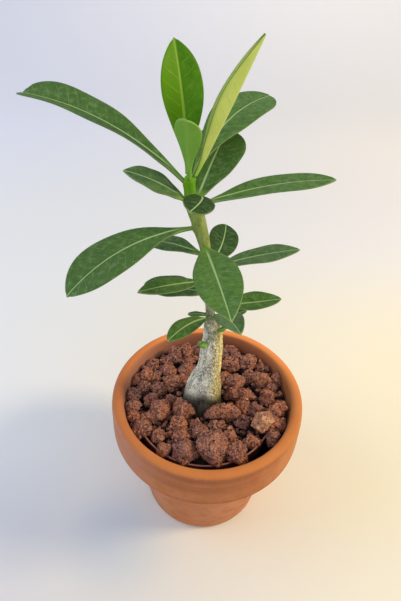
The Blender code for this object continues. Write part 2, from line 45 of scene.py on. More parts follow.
# a display colour, 0 to 255, as the linear colour that a socket takes
def paint(r, g, b):
    linear = (c / 255 / 12.92 if c <= 10 else ((c / 255 + 0.055) / 1.055) ** 2.4 for c in (r, g, b))
    return tuple(linear) + (1.0,)

# A procedural material and the nodes that the coats below are made of. Its places are in metres.
class Coat:
    def __init__(self, name, roughness):
        self.mat = bpy.data.materials.new(name)
        self.mat.use_nodes = True
        self.tree = self.mat.node_tree
        self.shader = self.tree.nodes["Principled BSDF"]
        self.where = self.put("TexCoord").outputs["Object"]
        self.feed("Roughness", roughness)

    def set(self, socket, value):
        if isinstance(value, bpy.types.NodeSocket):
            self.tree.links.new(value, socket)
        else:
            socket.default_value = value

    def put(self, kind, feeds=None, **settings):
        made = self.tree.nodes.new("ShaderNode" + kind)
        for key, value in settings.items():
            setattr(made, key, value)
        for key, value in (feeds or {}).items():
            self.set(made.inputs[key], value)
        return made

    def feed(self, name, value):
        self.set(self.shader.inputs[name], value)

    def calc(self, operation, a, b=0.0, clamp=False):
        return self.put("Math", {0: a, 1: b}, operation=operation, use_clamp=clamp).outputs[0]

    def times(self, first, *others):
        for other in others:
            first = self.calc("MULTIPLY", first, other)
        return first

    def plus(self, a, b):
        return self.calc("ADD", a, b)

    def minus(self, a, b):
        return self.calc("SUBTRACT", a, b)

    # smooth step from low to high, or down from low to a smaller high
    def step(self, value, low, high, toLow=0.0, toHigh=1.0):
        feeds = {"Value": value, "From Min": low, "From Max": high, "To Min": toLow, "To Max": toHigh}
        return self.put("MapRange", feeds, interpolation_type="SMOOTHSTEP").outputs[0]

    # three numbers are a display colour, four are a factor
    def mix(self, amount, a, b, mode="MIX"):
        a, b = (paint(*c) if isinstance(c, tuple) and len(c) == 3 else c for c in (a, b))
        return self.put("Mix", {0: amount, 6: a, 7: b}, data_type="RGBA", blend_type=mode).outputs[2]

    # colours laid one over another, each (mask, colour) or (value, low, high, amount, colour)
    def layers(self, colour, *above):
        for *by, other in above:
            mask = by[0] if len(by) == 1 else self.step(*by[:3], 0.0, by[3])
            colour = self.mix(mask, colour, other)
        return colour

    # noise stretched by lift
    def grain(self, scale, detail=4.0, rough=0.55, lift=(1.0, 1.0, 1.0)):
        at = self.put("Mapping", {"Vector": self.where, "Scale": lift}).outputs[0]
        feeds = {"Vector": at, "Scale": scale, "Detail": detail, "Roughness": rough}
        return self.put("TexNoise", feeds).outputs[0]

    def cells(self, at, scale, feature="F1"):
        return self.put("TexVoronoi", {"Vector": at, "Scale": scale}, feature=feature).outputs["Distance"]

    # the place pushed about by noise, reach in mm
    def warped(self, scale, reach):
        push = self.put("TexNoise", {"Vector": self.where, "Scale": scale, "Detail": 2.0}).outputs["Color"]
        push = self.put("VectorMath", {0: push, 1: (0.5, 0.5, 0.5)}, operation="SUBTRACT").outputs[0]
        push = self.put("VectorMath", {0: push, "Scale": reach * mm}, operation="SCALE").outputs[0]
        return self.put("VectorMath", {0: self.where, 1: push}, operation="ADD").outputs[0]

    def axes(self):
        return self.put("SeparateXYZ", {0: self.where}).outputs

    def distance(self, x, y, centre=(0.0, 0.0)):
        level = self.put("CombineXYZ", {0: x, 1: y}).outputs[0]
        feeds = {0: level, 1: (*centre, 0.0)}
        return self.put("VectorMath", feeds, operation="DISTANCE").outputs["Value"]

    def value(self, name):
        return self.put("Attribute", attribute_name=name).outputs["Fac"]

    # the finished material, with bump layers, each (height, strength, distance in mm)
    def done(self, colour, *bumps, gloss=0.5):
        self.feed("Base Color", colour)
        self.feed("Specular IOR Level", gloss)
        normal = None
        for height, strength, distance in bumps:
            feeds = {"Height": height, "Strength": strength, "Distance": distance * mm}
            if normal:
                feeds["Normal"] = normal
            normal = self.put("Bump", feeds).outputs[0]
            self.feed("Normal", normal)
        return self.mat

# a mesh in mm, with float values for each point in extras
def addMesh(name, verts, faces, mat, smooth=True, extras=None):
    mesh = bpy.data.meshes.new(name)
    mesh.from_pydata((np.asarray(verts, dtype=float) * mm).tolist(), [], faces)
    mesh.materials.append(mat)
    for key, values in (extras or {}).items():
        layer = mesh.attributes.new(key, "FLOAT", "POINT")
        layer.data.foreach_set("value", np.asarray(values, dtype=np.float32))
    if smooth:
        mesh.polygons.foreach_set("use_smooth", [True] * len(mesh.polygons))
    obj = bpy.data.objects.new(name, mesh)
    scene.collection.objects.link(obj)
    return obj

# a mesh that rides on the root body and stands for a CAD node
def addPiece(name, verts, faces, mat, node, slotName, smooth=True, extras=None):
    obj = addMesh(name, verts, faces, mat, smooth, extras)
    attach(obj, "root")
    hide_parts(node)
    return obj

def polar(turn, r, x=0.0, y=0.0):
    return x + r * cos(turn), y + r * sin(turn)


# quads between closed rows of equal point count
def ringFaces(rows, count):
    faces = []
    for k in range(rows - 1):
        for i in range(count):
            j = (i + 1) % count
            faces.append((k * count + i, k * count + j, (k + 1) * count + j, (k + 1) * count + i))
    return faces

# triangles from a middle point to the first row and from another to the last
def endFans(first, end, last, count):
    faces = []
    for i in range(count):
        j = (i + 1) % count
        faces += [(first, j, i), (end, last + i, last + j)]
    return faces


# corners of a profile eased by short curves
def roundedProfile(points, reach, steps):
    out = [Vector(points[0])]
    for before, here, after in zip(points, points[1:], points[2:]):
        a, b, c = Vector(before), Vector(here), Vector(after)
        cut = min(reach, (a - b).length * 0.45, (c - b).length * 0.45)
        start = b + (a - b).normalized() * cut
        end = b + (c - b).normalized() * cut
        for k in range(steps + 1):
            t = k / steps
            out.append(start * (1 - t) ** 2 + b * 2 * t * (1 - t) + end * t * t)
    out.append(Vector(points[-1]))
    return out

# extra points, so that no stretch of the profile is longer than most
def closer(profile, most):
    out = [profile[0]]
    for a, b in zip(profile, profile[1:]):
        parts = max(1, ceil((b - a).length / most))
        out += [a.lerp(b, k / parts) for k in range(1, parts + 1)]
    return out

def lathe(profile, steps, centre=(0.0, 0.0), wobble=None):
    verts = []
    for r, z in profile:
        for i in range(steps):
            turn = tau * i / steps
            verts.append((*polar(turn, r + (wobble(r, z, turn) if wobble else 0.0), *centre), z))
    return verts

# a ring of round holes straight down through a floor at height z
def drilled(obj, p, x, y, z, first):
    for k in range(p["drains"]):
        turn = tau * k / p["drains"] + first
        at = (*polar(turn, p["drainRing"], x, y), z)
        bpy.ops.mesh.primitive_cylinder_add(vertices=32, radius=p["drain"] * mm, depth=p["drillDepth"] * mm,
                                            location=[c * mm for c in at])
        cutter = bpy.context.active_object
        cut = obj.modifiers.new("hole", "BOOLEAN")
        cut.operation = "DIFFERENCE"
        cut.solver = "EXACT"
        cut.object = cutter
        bpy.context.view_layer.objects.active = obj
        bpy.ops.object.modifier_apply(modifier=cut.name)
        bpy.data.objects.remove(cutter, do_unlink=True)

# clay pot: sizes in mm, then colours
pot = {
    "height": 91.4, "rim": 54.6, "band": 24.2, "bandFoot": 55.3, "mouth": 48.5, "bodyTop": 46.6, "base": 37.1,
    "footWall": 5.5, "floor": 7.0, "shoulder": (42.8, 60.0), "drains": 3, "drain": 4.0, "drainRing": 15.0,
    "drillDepth": 12.0, "steps": 192, "ease": 1.6, "easeSteps": 5, "pitch": 2.2, "uneven": 0.10,
    "evenTo": 30.0,
    "bandClay": ((178, 108, 62), (192, 122, 75)), "bodyClay": ((186, 117, 74), (200, 132, 90)),
    "lipClay": ((198, 117, 59), (210, 129, 68)), "lipBehindLit": (246, 146, 76), "lipLeftShade": (188, 110, 62),
    "mottle": (168, 96, 56), "rings": (148, 84, 52), "smear": (146, 82, 50), "smudge": (156, 92, 58),
    "bloom": (188, 142, 126), "sunSide": (206, 140, 76), "inner": ((177, 121, 102), (163, 95, 62)),
    "dust": (226, 164, 118),
}

def makePot(p):
    height, rim, mouth, base, bodyTop = (p[key] for key in ("height", "rim", "mouth", "base", "bodyTop"))
    foot, floor = height - p["band"], p["floor"]
    innerFoot = base - p["footWall"]
    points = [
        (0.02, floor), (innerFoot, floor), (innerFoot + 1.4, floor + 2.0), p["shoulder"],
        (mouth - 2.1, foot + 4.0), (mouth - 0.4, height - 6.0), (mouth, height - 2.6),
        (mouth + 0.8, height - 0.7), (mouth + 2.6, height), (rim - 1.4, height - 0.5),
        (rim - 0.2, height - 1.9), (rim + 0.3, height - 5.0),
        (p["bandFoot"] + 0.1, foot + 5.0), (p["bandFoot"], foot + 1.2), (p["bandFoot"] - 1.2, foot),
        (bodyTop + 1.0, foot - 0.3), (bodyTop, foot - 1.6), (base + 0.9, 2.5), (base, 0.6), (base - 1.0, 0.0),
        (0.02, 0.0),
    ]
    profile = closer(roundedProfile(points, p["ease"], p["easeSteps"]), p["pitch"])

    def wobble(r, z, turn):
        if r < p["evenTo"]:
            return 0.0
        slow = noise.noise(Vector((cos(turn) * 1.3, sin(turn) * 1.3, z * 0.02)))
        return p["uneven"] * (slow - 1.0)

    steps = p["steps"]
    verts = lathe(profile, steps, wobble=wobble)
    faces = ringFaces(len(profile), steps)
    faces += endFans(len(verts), len(verts) + 1, (len(profile) - 1) * steps, steps)
    verts += [(0.0, 0.0, floor), (0.0, 0.0, 0.0)]
    obj = addPiece("clayPot", verts, [f[::-1] for f in faces], clayPaint(p), "clay_pot", "clay")
    drilled(obj, p, 0.0, 0.0, floor / 2, radians(90))

def clayPaint(p):
    coat = Coat("clay", 0.85)
    patches = coat.grain(28.0, 4.0, 0.6)
    mottle = coat.grain(130.0, 5.0, 0.6)
    dust = coat.grain(900.0, 3.0, 0.6)
    rings = coat.grain(60.0, 3.0, 0.6, (0.12, 0.12, 4.5))
    x, y, height = coat.axes()
    top, foot = p["height"] * mm, (p["height"] - p["band"]) * mm
    patchy = coat.step(patches, 0.35, 0.7)
    band, body, lip = (coat.mix(patchy, *p[key]) for key in ("bandClay", "bodyClay", "lipClay"))
    # the lip painted lighter at the back, where light falls on it, and darker on the left, where it is in
    # shade
    lip = coat.layers(
        lip,
        (y, -0.01, 0.03, 1.0, p["lipBehindLit"]),
        (x, -0.02, -0.045, 0.7, p["lipLeftShade"]),
    )
    smear = coat.times(  # along the band's foot
        coat.step(height, foot - 0.002, foot), coat.step(height, foot + 0.0055, foot + 0.002),
        coat.step(patches, 0.36, 0.60, 0.0, 0.5),
    )
    smudge = coat.times(  # under the lip, at the front and the back
        coat.step(height, top - 0.0006, top - 0.002), coat.step(height, top - 0.017, top - 0.010),
        coat.step(rings, 0.38, 0.62, 0.25, 0.85), coat.step(coat.calc("ABSOLUTE", x), 0.044, 0.014),
    )
    inside = coat.times(
        coat.step(coat.distance(x, y), 0.0492, 0.0484), coat.step(height, foot, foot + 0.002, 0.0, 0.6),
        coat.step(height, top - 0.001, top - 0.004),
    )
    colour = coat.layers(
        coat.mix(coat.step(height, foot - 0.0012, foot + 0.0004), body, band),
        (mottle, 0.42, 0.7, 0.4, p["mottle"]),
        (rings, 0.52, 0.72, 0.5, p["rings"]),
        (smear, p["smear"]),
        (smudge, p["smudge"]),
        # painted cool light on the left side, in patches, and painted warm light on the right side
        (coat.step(coat.plus(x, coat.times(patches, 0.03)), 0.0, -0.034, 0.0, 0.4), p["bloom"]),
        (x, 0.030, 0.052, 0.6, p["sunSide"]),
        (height, top - 0.0020, top - 0.0005, 1.0, lip),
        # inside the mouth, painted light and shade: lighter and bluer on the left wall, darker on the right
        (inside, coat.mix(coat.step(x, -0.02, 0.03), *p["inner"])),
        (dust, 0.60, 0.75, 0.2, p["dust"]),
    )
    coat.feed("Roughness", coat.step(mottle, 0.3, 0.7, 0.78, 0.95))
    return coat.done(colour, (rings, 0.35, 0.25), (dust, 0.3, 0.12), (mottle, 0.25, 0.3), gloss=0.3)

makePot(pot)
print("clay pot made")

# nursery pot: sizes in mm, then colours: dark brown plastic painted darker still for the shade of the clay
# wall, and a painted highlight on the rim's top edge
liner = {
    "x": -1.5, "y": -2.6, "foot": 7.3, "rimZ": 82.0, "rim": 40.3, "footR": 28.0, "wall": 1.2, "hole": 6.0,
    "drains": 4, "drain": 3.0, "drainRing": 17.0, "drillDepth": 12.0, "steps": 160, "pitch": 6.0,
    "plasticInShade": ((58, 26, 19), (80, 38, 27)), "edge": (170, 112, 96),
}

def makeLiner(p):
    rim, rimZ, foot, footZ, steps = p["rim"], p["rimZ"], p["footR"], p["foot"], p["steps"]
    points = [
        (rim - 0.5, rimZ), (rim - 0.15, rimZ - 0.3), (rim - 0.4, rimZ - 8.0), (foot, footZ + 1.0),
        (foot - 1.0, footZ), (p["hole"], footZ), (p["hole"], footZ + p["wall"]),
        (foot - 1.6, footZ + p["wall"]), (foot - 1.2, footZ + 2.2), (rim - 1.6, rimZ - 8.0),
        (rim - 1.2, rimZ - 0.3), (rim - 0.9, rimZ),
    ]
    profile = closer([Vector(q) for q in points], p["pitch"])
    verts = lathe(profile, steps, (p["x"], p["y"]))
    faces = ringFaces(len(profile), steps)
    last = (len(profile) - 1) * steps
    for i in range(steps):
        j = (i + 1) % steps
        faces.append((last + i, last + j, j, i))
    coat = Coat("linerPlastic", 0.42)
    streak = coat.grain(120.0, 3.0, 0.6)
    # painted highlight along the top edge of the rim
    edge = coat.step(coat.axes()[2], (rimZ - 0.28) * mm, (rimZ - 0.08) * mm)
    wall = coat.mix(coat.step(streak, 0.35, 0.7), *p["plasticInShade"])
    coat.feed("Roughness", coat.step(streak, 0.3, 0.7, 0.35, 0.55))
    mat = coat.done(coat.mix(edge, wall, p["edge"]), (coat.grain(700.0, 2.0), 0.15, 0.08))
    obj = addPiece("nurseryPot", verts, faces, mat, "nursery_pot", "liner_plastic", smooth=False)
    drilled(obj, p, p["x"], p["y"], footZ, radians(45))

makeLiner(liner)

# potting mix, seen only from below and through gaps
soilLook = {"mix": ((38, 28, 24), (78, 58, 44)), "crumb": (150, 138, 120)}

def soilPaint(look):
    coat = Coat("pottingMix", 0.95)
    crumbs = coat.cells(coat.where, 420.0)
    fine = coat.grain(500.0, 5.0, 0.65)
    colour = coat.mix(coat.step(fine, 0.35, 0.7), *look["mix"])
    colour = coat.layers(colour, (crumbs, 0.2, 0.05, 0.7, look["crumb"]))
    return coat.done(colour, (crumbs, 0.8, 0.8), (fine, 0.5, 0.4))

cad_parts["soil"].material_slots[0].material = soilPaint(soilLook)
print("liner and soil done")

# trunk and stem: height, centre x, centre y, half width x, half width y
trunkRows = [
    (28.0, -3.5, 0.5, 1.2, 1.2), (36.0, -3.2, 0.3, 3.2, 3.2), (48.0, -2.8, 0.0, 6.4, 6.4),
    (60.0, -2.6, 0.0, 9.0, 9.0), (70.0, -2.5, 0.0, 10.2, 10.2), (78.0, -2.9, 0.0, 11.4, 11.0),
    (85.0, -2.8, 0.0, 11.1, 10.7), (91.0, -2.4, 0.0, 10.3, 10.1), (95.0, -2.1, 0.0, 9.8, 9.6),
    (99.0, -1.7, 0.0, 8.8, 8.7), (103.0, -1.2, 0.0, 7.8, 7.7), (107.0, -0.3, 0.0, 6.9, 6.9),
    (114.0, 0.4, 0.0, 6.1, 6.1), (122.0, 0.6, 0.0, 5.9, 5.8), (130.0, 0.8, 0.0, 5.2, 5.1),
    (136.0, 0.6, 0.0, 4.8, 4.6), (139.5, 0.0, 0.0, 4.2, 4.0), (142.0, -0.6, 0.0, 3.0, 2.9),
    (145.0, -0.9, 0.0, 2.3, 2.3), (154.0, -1.9, 0.0, 2.15, 2.15), (164.0, -2.9, 0.0, 2.15, 2.15),
    (174.0, -4.0, 0.0, 2.2, 2.2), (183.5, -5.2, 0.0, 2.4, 2.4), (188.5, -6.3, 0.0, 2.8, 2.7),
    (193.0, -7.6, 0.0, 3.1, 3.0), (197.5, -8.8, 0.0, 3.3, 3.2), (201.0, -10.0, 0.0, 3.4, 3.3),
    (204.5, -11.4, 0.0, 2.9, 2.8), (208.5, -12.3, 0.0, 2.4, 2.3), (212.5, -12.6, 0.0, 2.3, 2.2),
    (214.8, -12.6, 0.0, 2.1, 2.0), (215.6, -12.6, 0.0, 1.7, 1.6),
]
apex = trunkRows[-1][0]

# centre and mean radius of the stem at a height
def atHeight(z):
    for low, high in zip(trunkRows, trunkRows[1:]):
        if low[0] <= z <= high[0]:
            f = (z - low[0]) / (high[0] - low[0])
            cx, cy, rx, ry = (a + (b - a) * f for a, b in zip(low[1:], high[1:]))
            return cx, cy, (rx + ry) / 2
    return trunkRows[-1][1], trunkRows[-1][2], trunkRows[-1][3]

# height, heading, rise, bend, sway, length, width, fold, roll, base and tip fullness, coat, tint
leafRows = {
    "leaf_01": (213.0, 160, 38, -35, 6, 74.5, 20.5, 19, -6, 1.3, 0.35, "mature", 0.45),
    "leaf_02": (216.3, 120, 84, -14, 8, 45, 16.5, 15, -16, 1.75, 0.9, "young", 1.0),
    "leaf_03": (215.0, 266, 78, -38, 4, 30, 10, 7, -14, 1.8, 0.65, "fresh", 0.6),
    "leaf_04": (216.0, 2, 64.5, 2, 0, 51.5, 13, 48, 0, 1.5, 1.15, "pale", 0.5),
    "leaf_05": (213.0, 70, 37.5, -33, -27, 65, 24, 5, 6, 1.7, 0.6, "mature", 0.75),
    "leaf_06": (203.5, 67, 44, -22, 2, 39, 24.5, 6, 6, 1.2, 0.5, "mature", 0.4),
    "leaf_07": (203.5, 19, 16.5, -13, -21, 57.5, 17.5, 4, 2, 1.4, 0.8, "mature", 0.8),
    "leaf_08": (206.0, 195, 42, -25.5, -2, 27.5, 12.5, 5, -20, 1.15, 0.93, "dusty", 0.4),
    "leaf_09": (207.5, 297, 31, -30, -52, 35, 11, 2, -16, 1.65, 0.5, "shade", 0.0),
    "leaf_10": (194.0, 192.5, -3, -26, 40, 60, 24, 4, -6, 1.55, 0.89, "mature", 0.45),
    "leaf_11": (180.5, 160, 14, -38, -18, 30, 14, 3, -2, 1.05, 0.6, "mature", 0.35),
    "leaf_12": (174.0, 69, -7, 14, 18, 43, 16, 3, 15, 1.2, 0.57, "shade", 0.5),
    "leaf_13": (174.0, 4, 21, -12, -2, 40, 13.5, 4, 1, 1.3, 0.78, "dusty", 0.6),
    "leaf_14": (186.0, 280, 8, -6, -1, 55, 18.5, 7, 12, 1.05, 0.9, "mature", 0.9),
    "leaf_15": (167.0, 211, 15, -13.5, -1, 33, 11.5, 3, -4, 1.33, 0.95, "mature", 0.55),
    "leaf_16": (159.5, 166, 2, -10, 0, 31, 18, 6, 0, 0.9, 0.7, "mature", 0.25),
    "leaf_17": (152.0, 8, 1.5, 6, 0, 33.5, 12.2, 15, 11, 1.3, 0.87, "mature", 0.6),
    "leaf_18": (146.0, 294, 50, -42, -9, 38, 12, 14, 12, 1.33, 0.82, "dusty", 0.9),
    "leaf_19": (145.0, 231, 35, -49, 1, 30, 10, 3, -6, 1.28, 0.74, "mature", 0.6),
    "leaf_20": (146.5, 165, -18, 8, 0, 10, 4, 8, 0, 1.2, 0.7, "mature", 0.4),
    "leaf_21": (145.5, 22, -14, 20, 0, 18, 5, 8, 0, 1.2, 0.7, "mature", 0.4),
}
# sizes in mm, knob forms as (reach, height, drop, half height, half width), then colours
trunk = {
    "sides": 96, "rows": 460, "lobesFrom": 60.0, "lobesTo": 136.0, "barkTo": 158.0, "barkFade": 14.0,
    "scars": 26, "scarFrom": 100.0, "scarStep": 2.0, "scarTurn": 2.4, "scarSeed": 8,
    "scarForm": (2.4, 0.28, 0.0, 0.8, 1.3), "baseForm": (4.0, 0.55, 0.4, 1.5, 1.5),
    "bark": ((250, 243, 221), (228, 222, 192)), "strand": (160, 158, 130), "crack": (92, 88, 68),
    # the two foot colours below are painted shade, where the trunk meets the stones
    "fleck": (76, 74, 58), "frost": (255, 252, 236), "foot": ((88, 84, 68), (50, 46, 40)),
    "moss": ((158, 164, 118), (128, 142, 92)), "mossCrack": (70, 80, 52),
    "olive": ((146, 158, 80), (114, 134, 60)), "oliveFleck": (176, 174, 126), "oliveDark": (84, 104, 40),
    "green": ((112, 164, 8), (84, 140, 6)), "sunny": (1.0, 0.85, 0.39, 1.0),
}

# trunk rows eased through a Catmull-Rom curve
def smoothRows(count):
    rows = np.array(trunkRows)
    padded = np.vstack([2 * rows[0] - rows[1], rows, 2 * rows[-1] - rows[-2]])
    out = []
    for z in np.linspace(rows[0, 0], rows[-1, 0], count):
        k = min(len(rows) - 2, int(np.searchsorted(rows[:, 0], z, side="right")) - 1)
        a, b, c, d = padded[k:k + 4]
        span = c[0] - b[0]
        t = (z - b[0]) / span
        before, after = (c - a) / (c[0] - a[0]), (d - b) / (d[0] - b[0])
        row = ((2 * t ** 3 - 3 * t ** 2 + 1) * b + (t ** 3 - 2 * t ** 2 + t) * span * before
               + (3 * t ** 2 - 2 * t ** 3) * c + (t ** 3 - t ** 2) * span * after)
        row[0] = z
        out.append(row)
    return out

# how far knobs at these places, each (height, turn), lift the bark
def knobs(z, a, rx, places, form):
    reach, high, drop, tall, wide = form
    total = 0.0
    for at, turn in places:
        if abs(z - at) < reach:
            away = abs((a - turn + pi) % tau - pi) * rx
            total += high * exp(-((z - at + drop) / tall) ** 2 - (away / wide) ** 2)
    return total

# folds, cracks and grit, fading out where the stem is green
def relief(x, y, z, rx, ry, bark):
    folds = noise.fractal(Vector((x * rx * 0.55, y * ry * 0.55, z * 0.16)) * 1.3, 0.9, 2.1, 5)
    cracks = abs(noise.noise(Vector((x * rx * 1.5, y * ry * 1.5, z * 0.42 + 9))))
    grit = noise.noise(Vector((x * rx * 2.6, y * ry * 2.6, z * 1.5 + 40)))
    rough = 0.22 * folds - 0.30 * exp(-(cracks / 0.10) ** 2) + 0.10 * grit
    return bark * rough + (1 - bark) * 0.04 * folds

def makeStem(p):
    sides, rows = p["sides"], p["rows"]
    bases = [(row[0], radians(row[1])) for row in leafRows.values()]
    rng = random.Random(p["scarSeed"])
    scars = []
    for k in range(p["scars"]):
        scars.append((p["scarFrom"] + p["scarStep"] * k + rng.uniform(-1.5, 1.5),
                      p["scarTurn"] * k + rng.uniform(-0.3, 0.3)))
    verts = []
    for z, cx, cy, rx, ry in smoothRows(rows):
        bark = min(1.0, max(0.0, (p["barkTo"] - z) / p["barkFade"]))
        for i in range(sides):
            a = tau * i / sides
            lobe = 1.0
            if p["lobesFrom"] < z < p["lobesTo"]:
                lobe += 0.035 * sin(3 * a + 0.05 * z) + 0.02 * sin(5 * a + 1.3)
            x, y = cos(a), sin(a)
            grow = knobs(z, a, rx, bases, p["baseForm"]) + knobs(z, a, rx, scars, p["scarForm"])
            grow += relief(x, y, z, rx, ry, bark)
            verts.append((cx + (rx * lobe + grow) * x, cy + (ry * lobe + grow) * y, z))
    faces = ringFaces(rows, sides) + endFans(len(verts), len(verts) + 1, (rows - 1) * sides, sides)
    verts.append((trunkRows[0][1], trunkRows[0][2], trunkRows[0][0] - 0.6))
    verts.append((trunkRows[-1][1], trunkRows[-1][2], apex + 0.5))
    addPiece("trunk", verts, faces, barkPaint(p), "stem", "bark")

def barkPaint(p):
    coat = Coat("bark", 0.8)
    x, y, z = coat.axes()
    flecks = coat.grain(620.0, 5.0, 0.65, (1.0, 1.0, 0.34))
    strands = coat.grain(300.0, 4.0, 0.6, (1.0, 1.0, 0.22))
    clouds = coat.grain(90.0, 3.0, 0.55)
    fine = coat.grain(1300.0, 3.0, 0.6, (1.0, 1.0, 0.6))
    bent = coat.put("Mapping", {"Vector": coat.warped(500.0, 1.8), "Scale": (1.0, 1.0, 0.30)}).outputs[0]
    net = coat.cells(bent, 1150.0, "DISTANCE_TO_EDGE")
    cracks = coat.times(coat.step(net, 0.19, 0.05), coat.step(strands, 0.38, 0.54, 0.2, 1.0))
    ragged = coat.plus(z, coat.times(coat.minus(clouds, 0.5), 0.030))  # height with a ragged edge
    grey = coat.layers(
        coat.mix(coat.step(clouds, 0.35, 0.65), *p["bark"]),
        (strands, 0.50, 0.68, 0.5, p["strand"]),
        (coat.times(cracks, 0.76), p["crack"]),
        (flecks, 0.58, 0.66, 0.75, p["fleck"]),
        (fine, 0.52, 0.62, 0.85, p["frost"]),
    )
    # the foot is painted dark for the shade among the stones; the painted shade ends in an arch at the front
    # and a little lower behind
    aside = coat.times(coat.calc("ABSOLUTE", coat.plus(x, 0.0022)), 0.6)
    behind = coat.step(y, -0.002, 0.006, 0.0, 0.004)
    low = coat.plus(coat.plus(z, aside), coat.plus(behind, coat.times(strands, 0.006)))
    mossy = coat.mix(coat.step(clouds, 0.4, 0.6), *p["moss"])
    mossy = coat.mix(coat.times(cracks, 0.8), mossy, p["mossCrack"])
    streaks = coat.step(strands, 0.4, 0.65)
    olive = coat.layers(
        coat.mix(streaks, *p["olive"]),
        (flecks, 0.54, 0.68, 0.6, p["oliveFleck"]),
        (fine, 0.46, 0.34, 0.5, p["oliveDark"]),
    )
    colour = coat.layers(
        grey,
        # painted shade on the trunk's foot
        (low, 0.1045, 0.0955, 1.0, coat.mix(coat.step(strands, 0.4, 0.62), *p["foot"])),
        (ragged, 0.132, 0.146, 0.65, mossy),
        (ragged, 0.150, 0.176, 1.0, olive),
        (z, 0.198, 0.209, 1.0, coat.mix(streaks, *p["green"])),
    )
    sunny = coat.times(coat.step(x, -0.001, 0.007), coat.step(z, 0.150, 0.140), coat.step(y, 0.008, -0.003))
    colour = coat.mix(sunny, colour, coat.mix(1.0, colour, p["sunny"], "MULTIPLY"))
    coat.feed("Roughness", coat.step(z, 0.15, 0.20, 0.85, 0.5))
    strength = coat.step(z, 0.145, 0.175, 0.8, 0.12)
    bumps = ((coat.minus(1.0, cracks), strength, 0.5), (flecks, strength, 0.4), (fine, strength, 0.2))
    return coat.done(colour, *bumps, gloss=0.25)

makeStem(trunk)
print("trunk made")

# lava stones: places and sizes in mm, then colours
bed = {
    "stoneZ": 81.0, "jitter": 0.25, "grow": 1.10, "smallPoints": 17, "largePoints": 26, "seed": 40,
    "rimStones": 22, "rimFrom": -33.0, "rimSweep": 246.0, "rimLift": 3.3, "gridHalf": 6, "gridX": 8.0,
    "gridY": 7.2, "gridR": 44.0, "frontR": 33.0, "front": (218.0, 322.0), "trunkX": -2.4, "trunkRing": 13.5,
    "spreadSeed": 11, "rimGap": 0.22, "gridGap": 0.36, "underSeed": 21, "underPitch": 4.6, "underTop": 78.4,
    "underRing": 12.0, "linerR": 34.0, "frontLinerR": 36.0, "backLift": 3.6, "frontLift": 1.2,
    "cavity": 47.9, "fine": 20, "coarse": 16, "small": 7, "swell": 0.35, "underFrom": 600, "toneFrom": 500,
    # the three shade numbers below and the darkest colour set the painted shade on each stone's lower part
    "largeFrom": 11.0, "backFrom": 2.0, "backUnderFrom": 4.0, "shadeMid": 0.46, "shadeSlope": 0.85,
    "shadeUnder": 0.75,
    "lava": ((162, 112, 98), (200, 128, 94)), "cloud": (140, 94, 90), "rust": (192, 104, 70),
    "glint": (244, 180, 142), "grime": (104, 62, 56), "smallPore": (76, 42, 38), "pore": (46, 26, 28),
    "stoneShade": (22, 19, 28),
}
# x, y, width, height, lift
handSet = [
    (-14, -9, 13.0, 11.5, 2.0), (-27, -10, 11.0, 13.0, 1.5), (-33, -3, 9.5, 10.5, 1.0),
    (-29, 6, 9.5, 8.0, 0.5), (-21, -1, 7.0, 6.5, 0.5), (-35, -23, 10.0, 11.0, 1.5),
    (-41, -14, 7.5, 7.5, 1.0), (-26, -26, 8.0, 7.5, 0.5), (-22, -34, 8.0, 9.0, 0.5),
    (-16, -18, 9.5, 9.0, 1.0), (-14, -26, 9.0, 8.5, 1.0), (-11, -35.2, 12.0, 12.0, 1.5),
    (-6, -18, 8.0, 7.5, 0.5), (-4, -24, 9.5, 6.0, 1.0), (3, -33.4, 15.5, 17.0, 3.5),
    (6, -18, 9.0, 7.5, 0.5), (13, -25, 8.5, 9.0, 1.0), (16, -34.7, 11.0, 12.0, 1.5),
    (15, 4, 9.0, 9.0, 1.0), (23, 4, 10.0, 9.0, 1.0), (21, -4, 9.5, 8.5, 0.5),
    (28, -6, 8.5, 9.5, 0.5), (20, -15, 9.0, 7.5, 0.5), (25, -27, 8.5, 8.0, 0.0),
    (36, -25, 8.0, 9.5, 1.5), (41, -17, 8.0, 8.5, 1.5), (36, 2, 9.5, 10.5, 1.5),
    (42, -5, 9.5, 11.0, 1.5), (15, 40, 10.5, 10.0, 1.5), (15, 27, 12.5, 10.5, 1.5),
    (28, 33, 9.5, 9.5, 1.5), (34, 26, 8.0, 9.0, 1.0), (26, 19, 10.0, 9.0, 0.5),
    (17, 14, 12.0, 9.0, 1.0), (43, 16, 8.0, 10.0, 1.5), (38, 10, 8.5, 8.0, 1.0),
    (-16, 40, 9.5, 8.0, 1.5), (-11, 32, 9.5, 7.5, 1.0), (-26, 29, 9.0, 8.0, 1.0),
    (-35, 25, 9.0, 9.0, 1.0), (-24, 20, 11.5, 7.5, 1.0), (-12, 22, 11.5, 8.0, 1.0),
    (-33, 13, 8.5, 8.0, 0.5), (-42, 12, 8.5, 8.5, 1.5), (-22, 11, 10.5, 11.0, 1.0),
    (-38, 6, 8.0, 9.0, 1.0), (-43, 0, 8.0, 8.5, 1.5),
]
flatStone = (8.5, -12.5, 19.0, 9.5, 6.0, 9.5)  # its depth stands last
paleStone = (30.5, -18.5, 11.0, 10.4, 7.0)

# places on a staggered grid, row by row, each moved a little
def staggered(half, pitchX, pitchY, jitter, rng):
    for row in range(-half, half + 1):
        for col in range(-half, half + 1):
            x = pitchX * (col + 0.5 * (row % 2)) + rng.uniform(-jitter, jitter)
            yield x, pitchY * row + rng.uniform(-jitter, jitter)

def atFront(x, y, b):
    return b["front"][0] < degrees(atan2(y, x)) % 360 < b["front"][1]
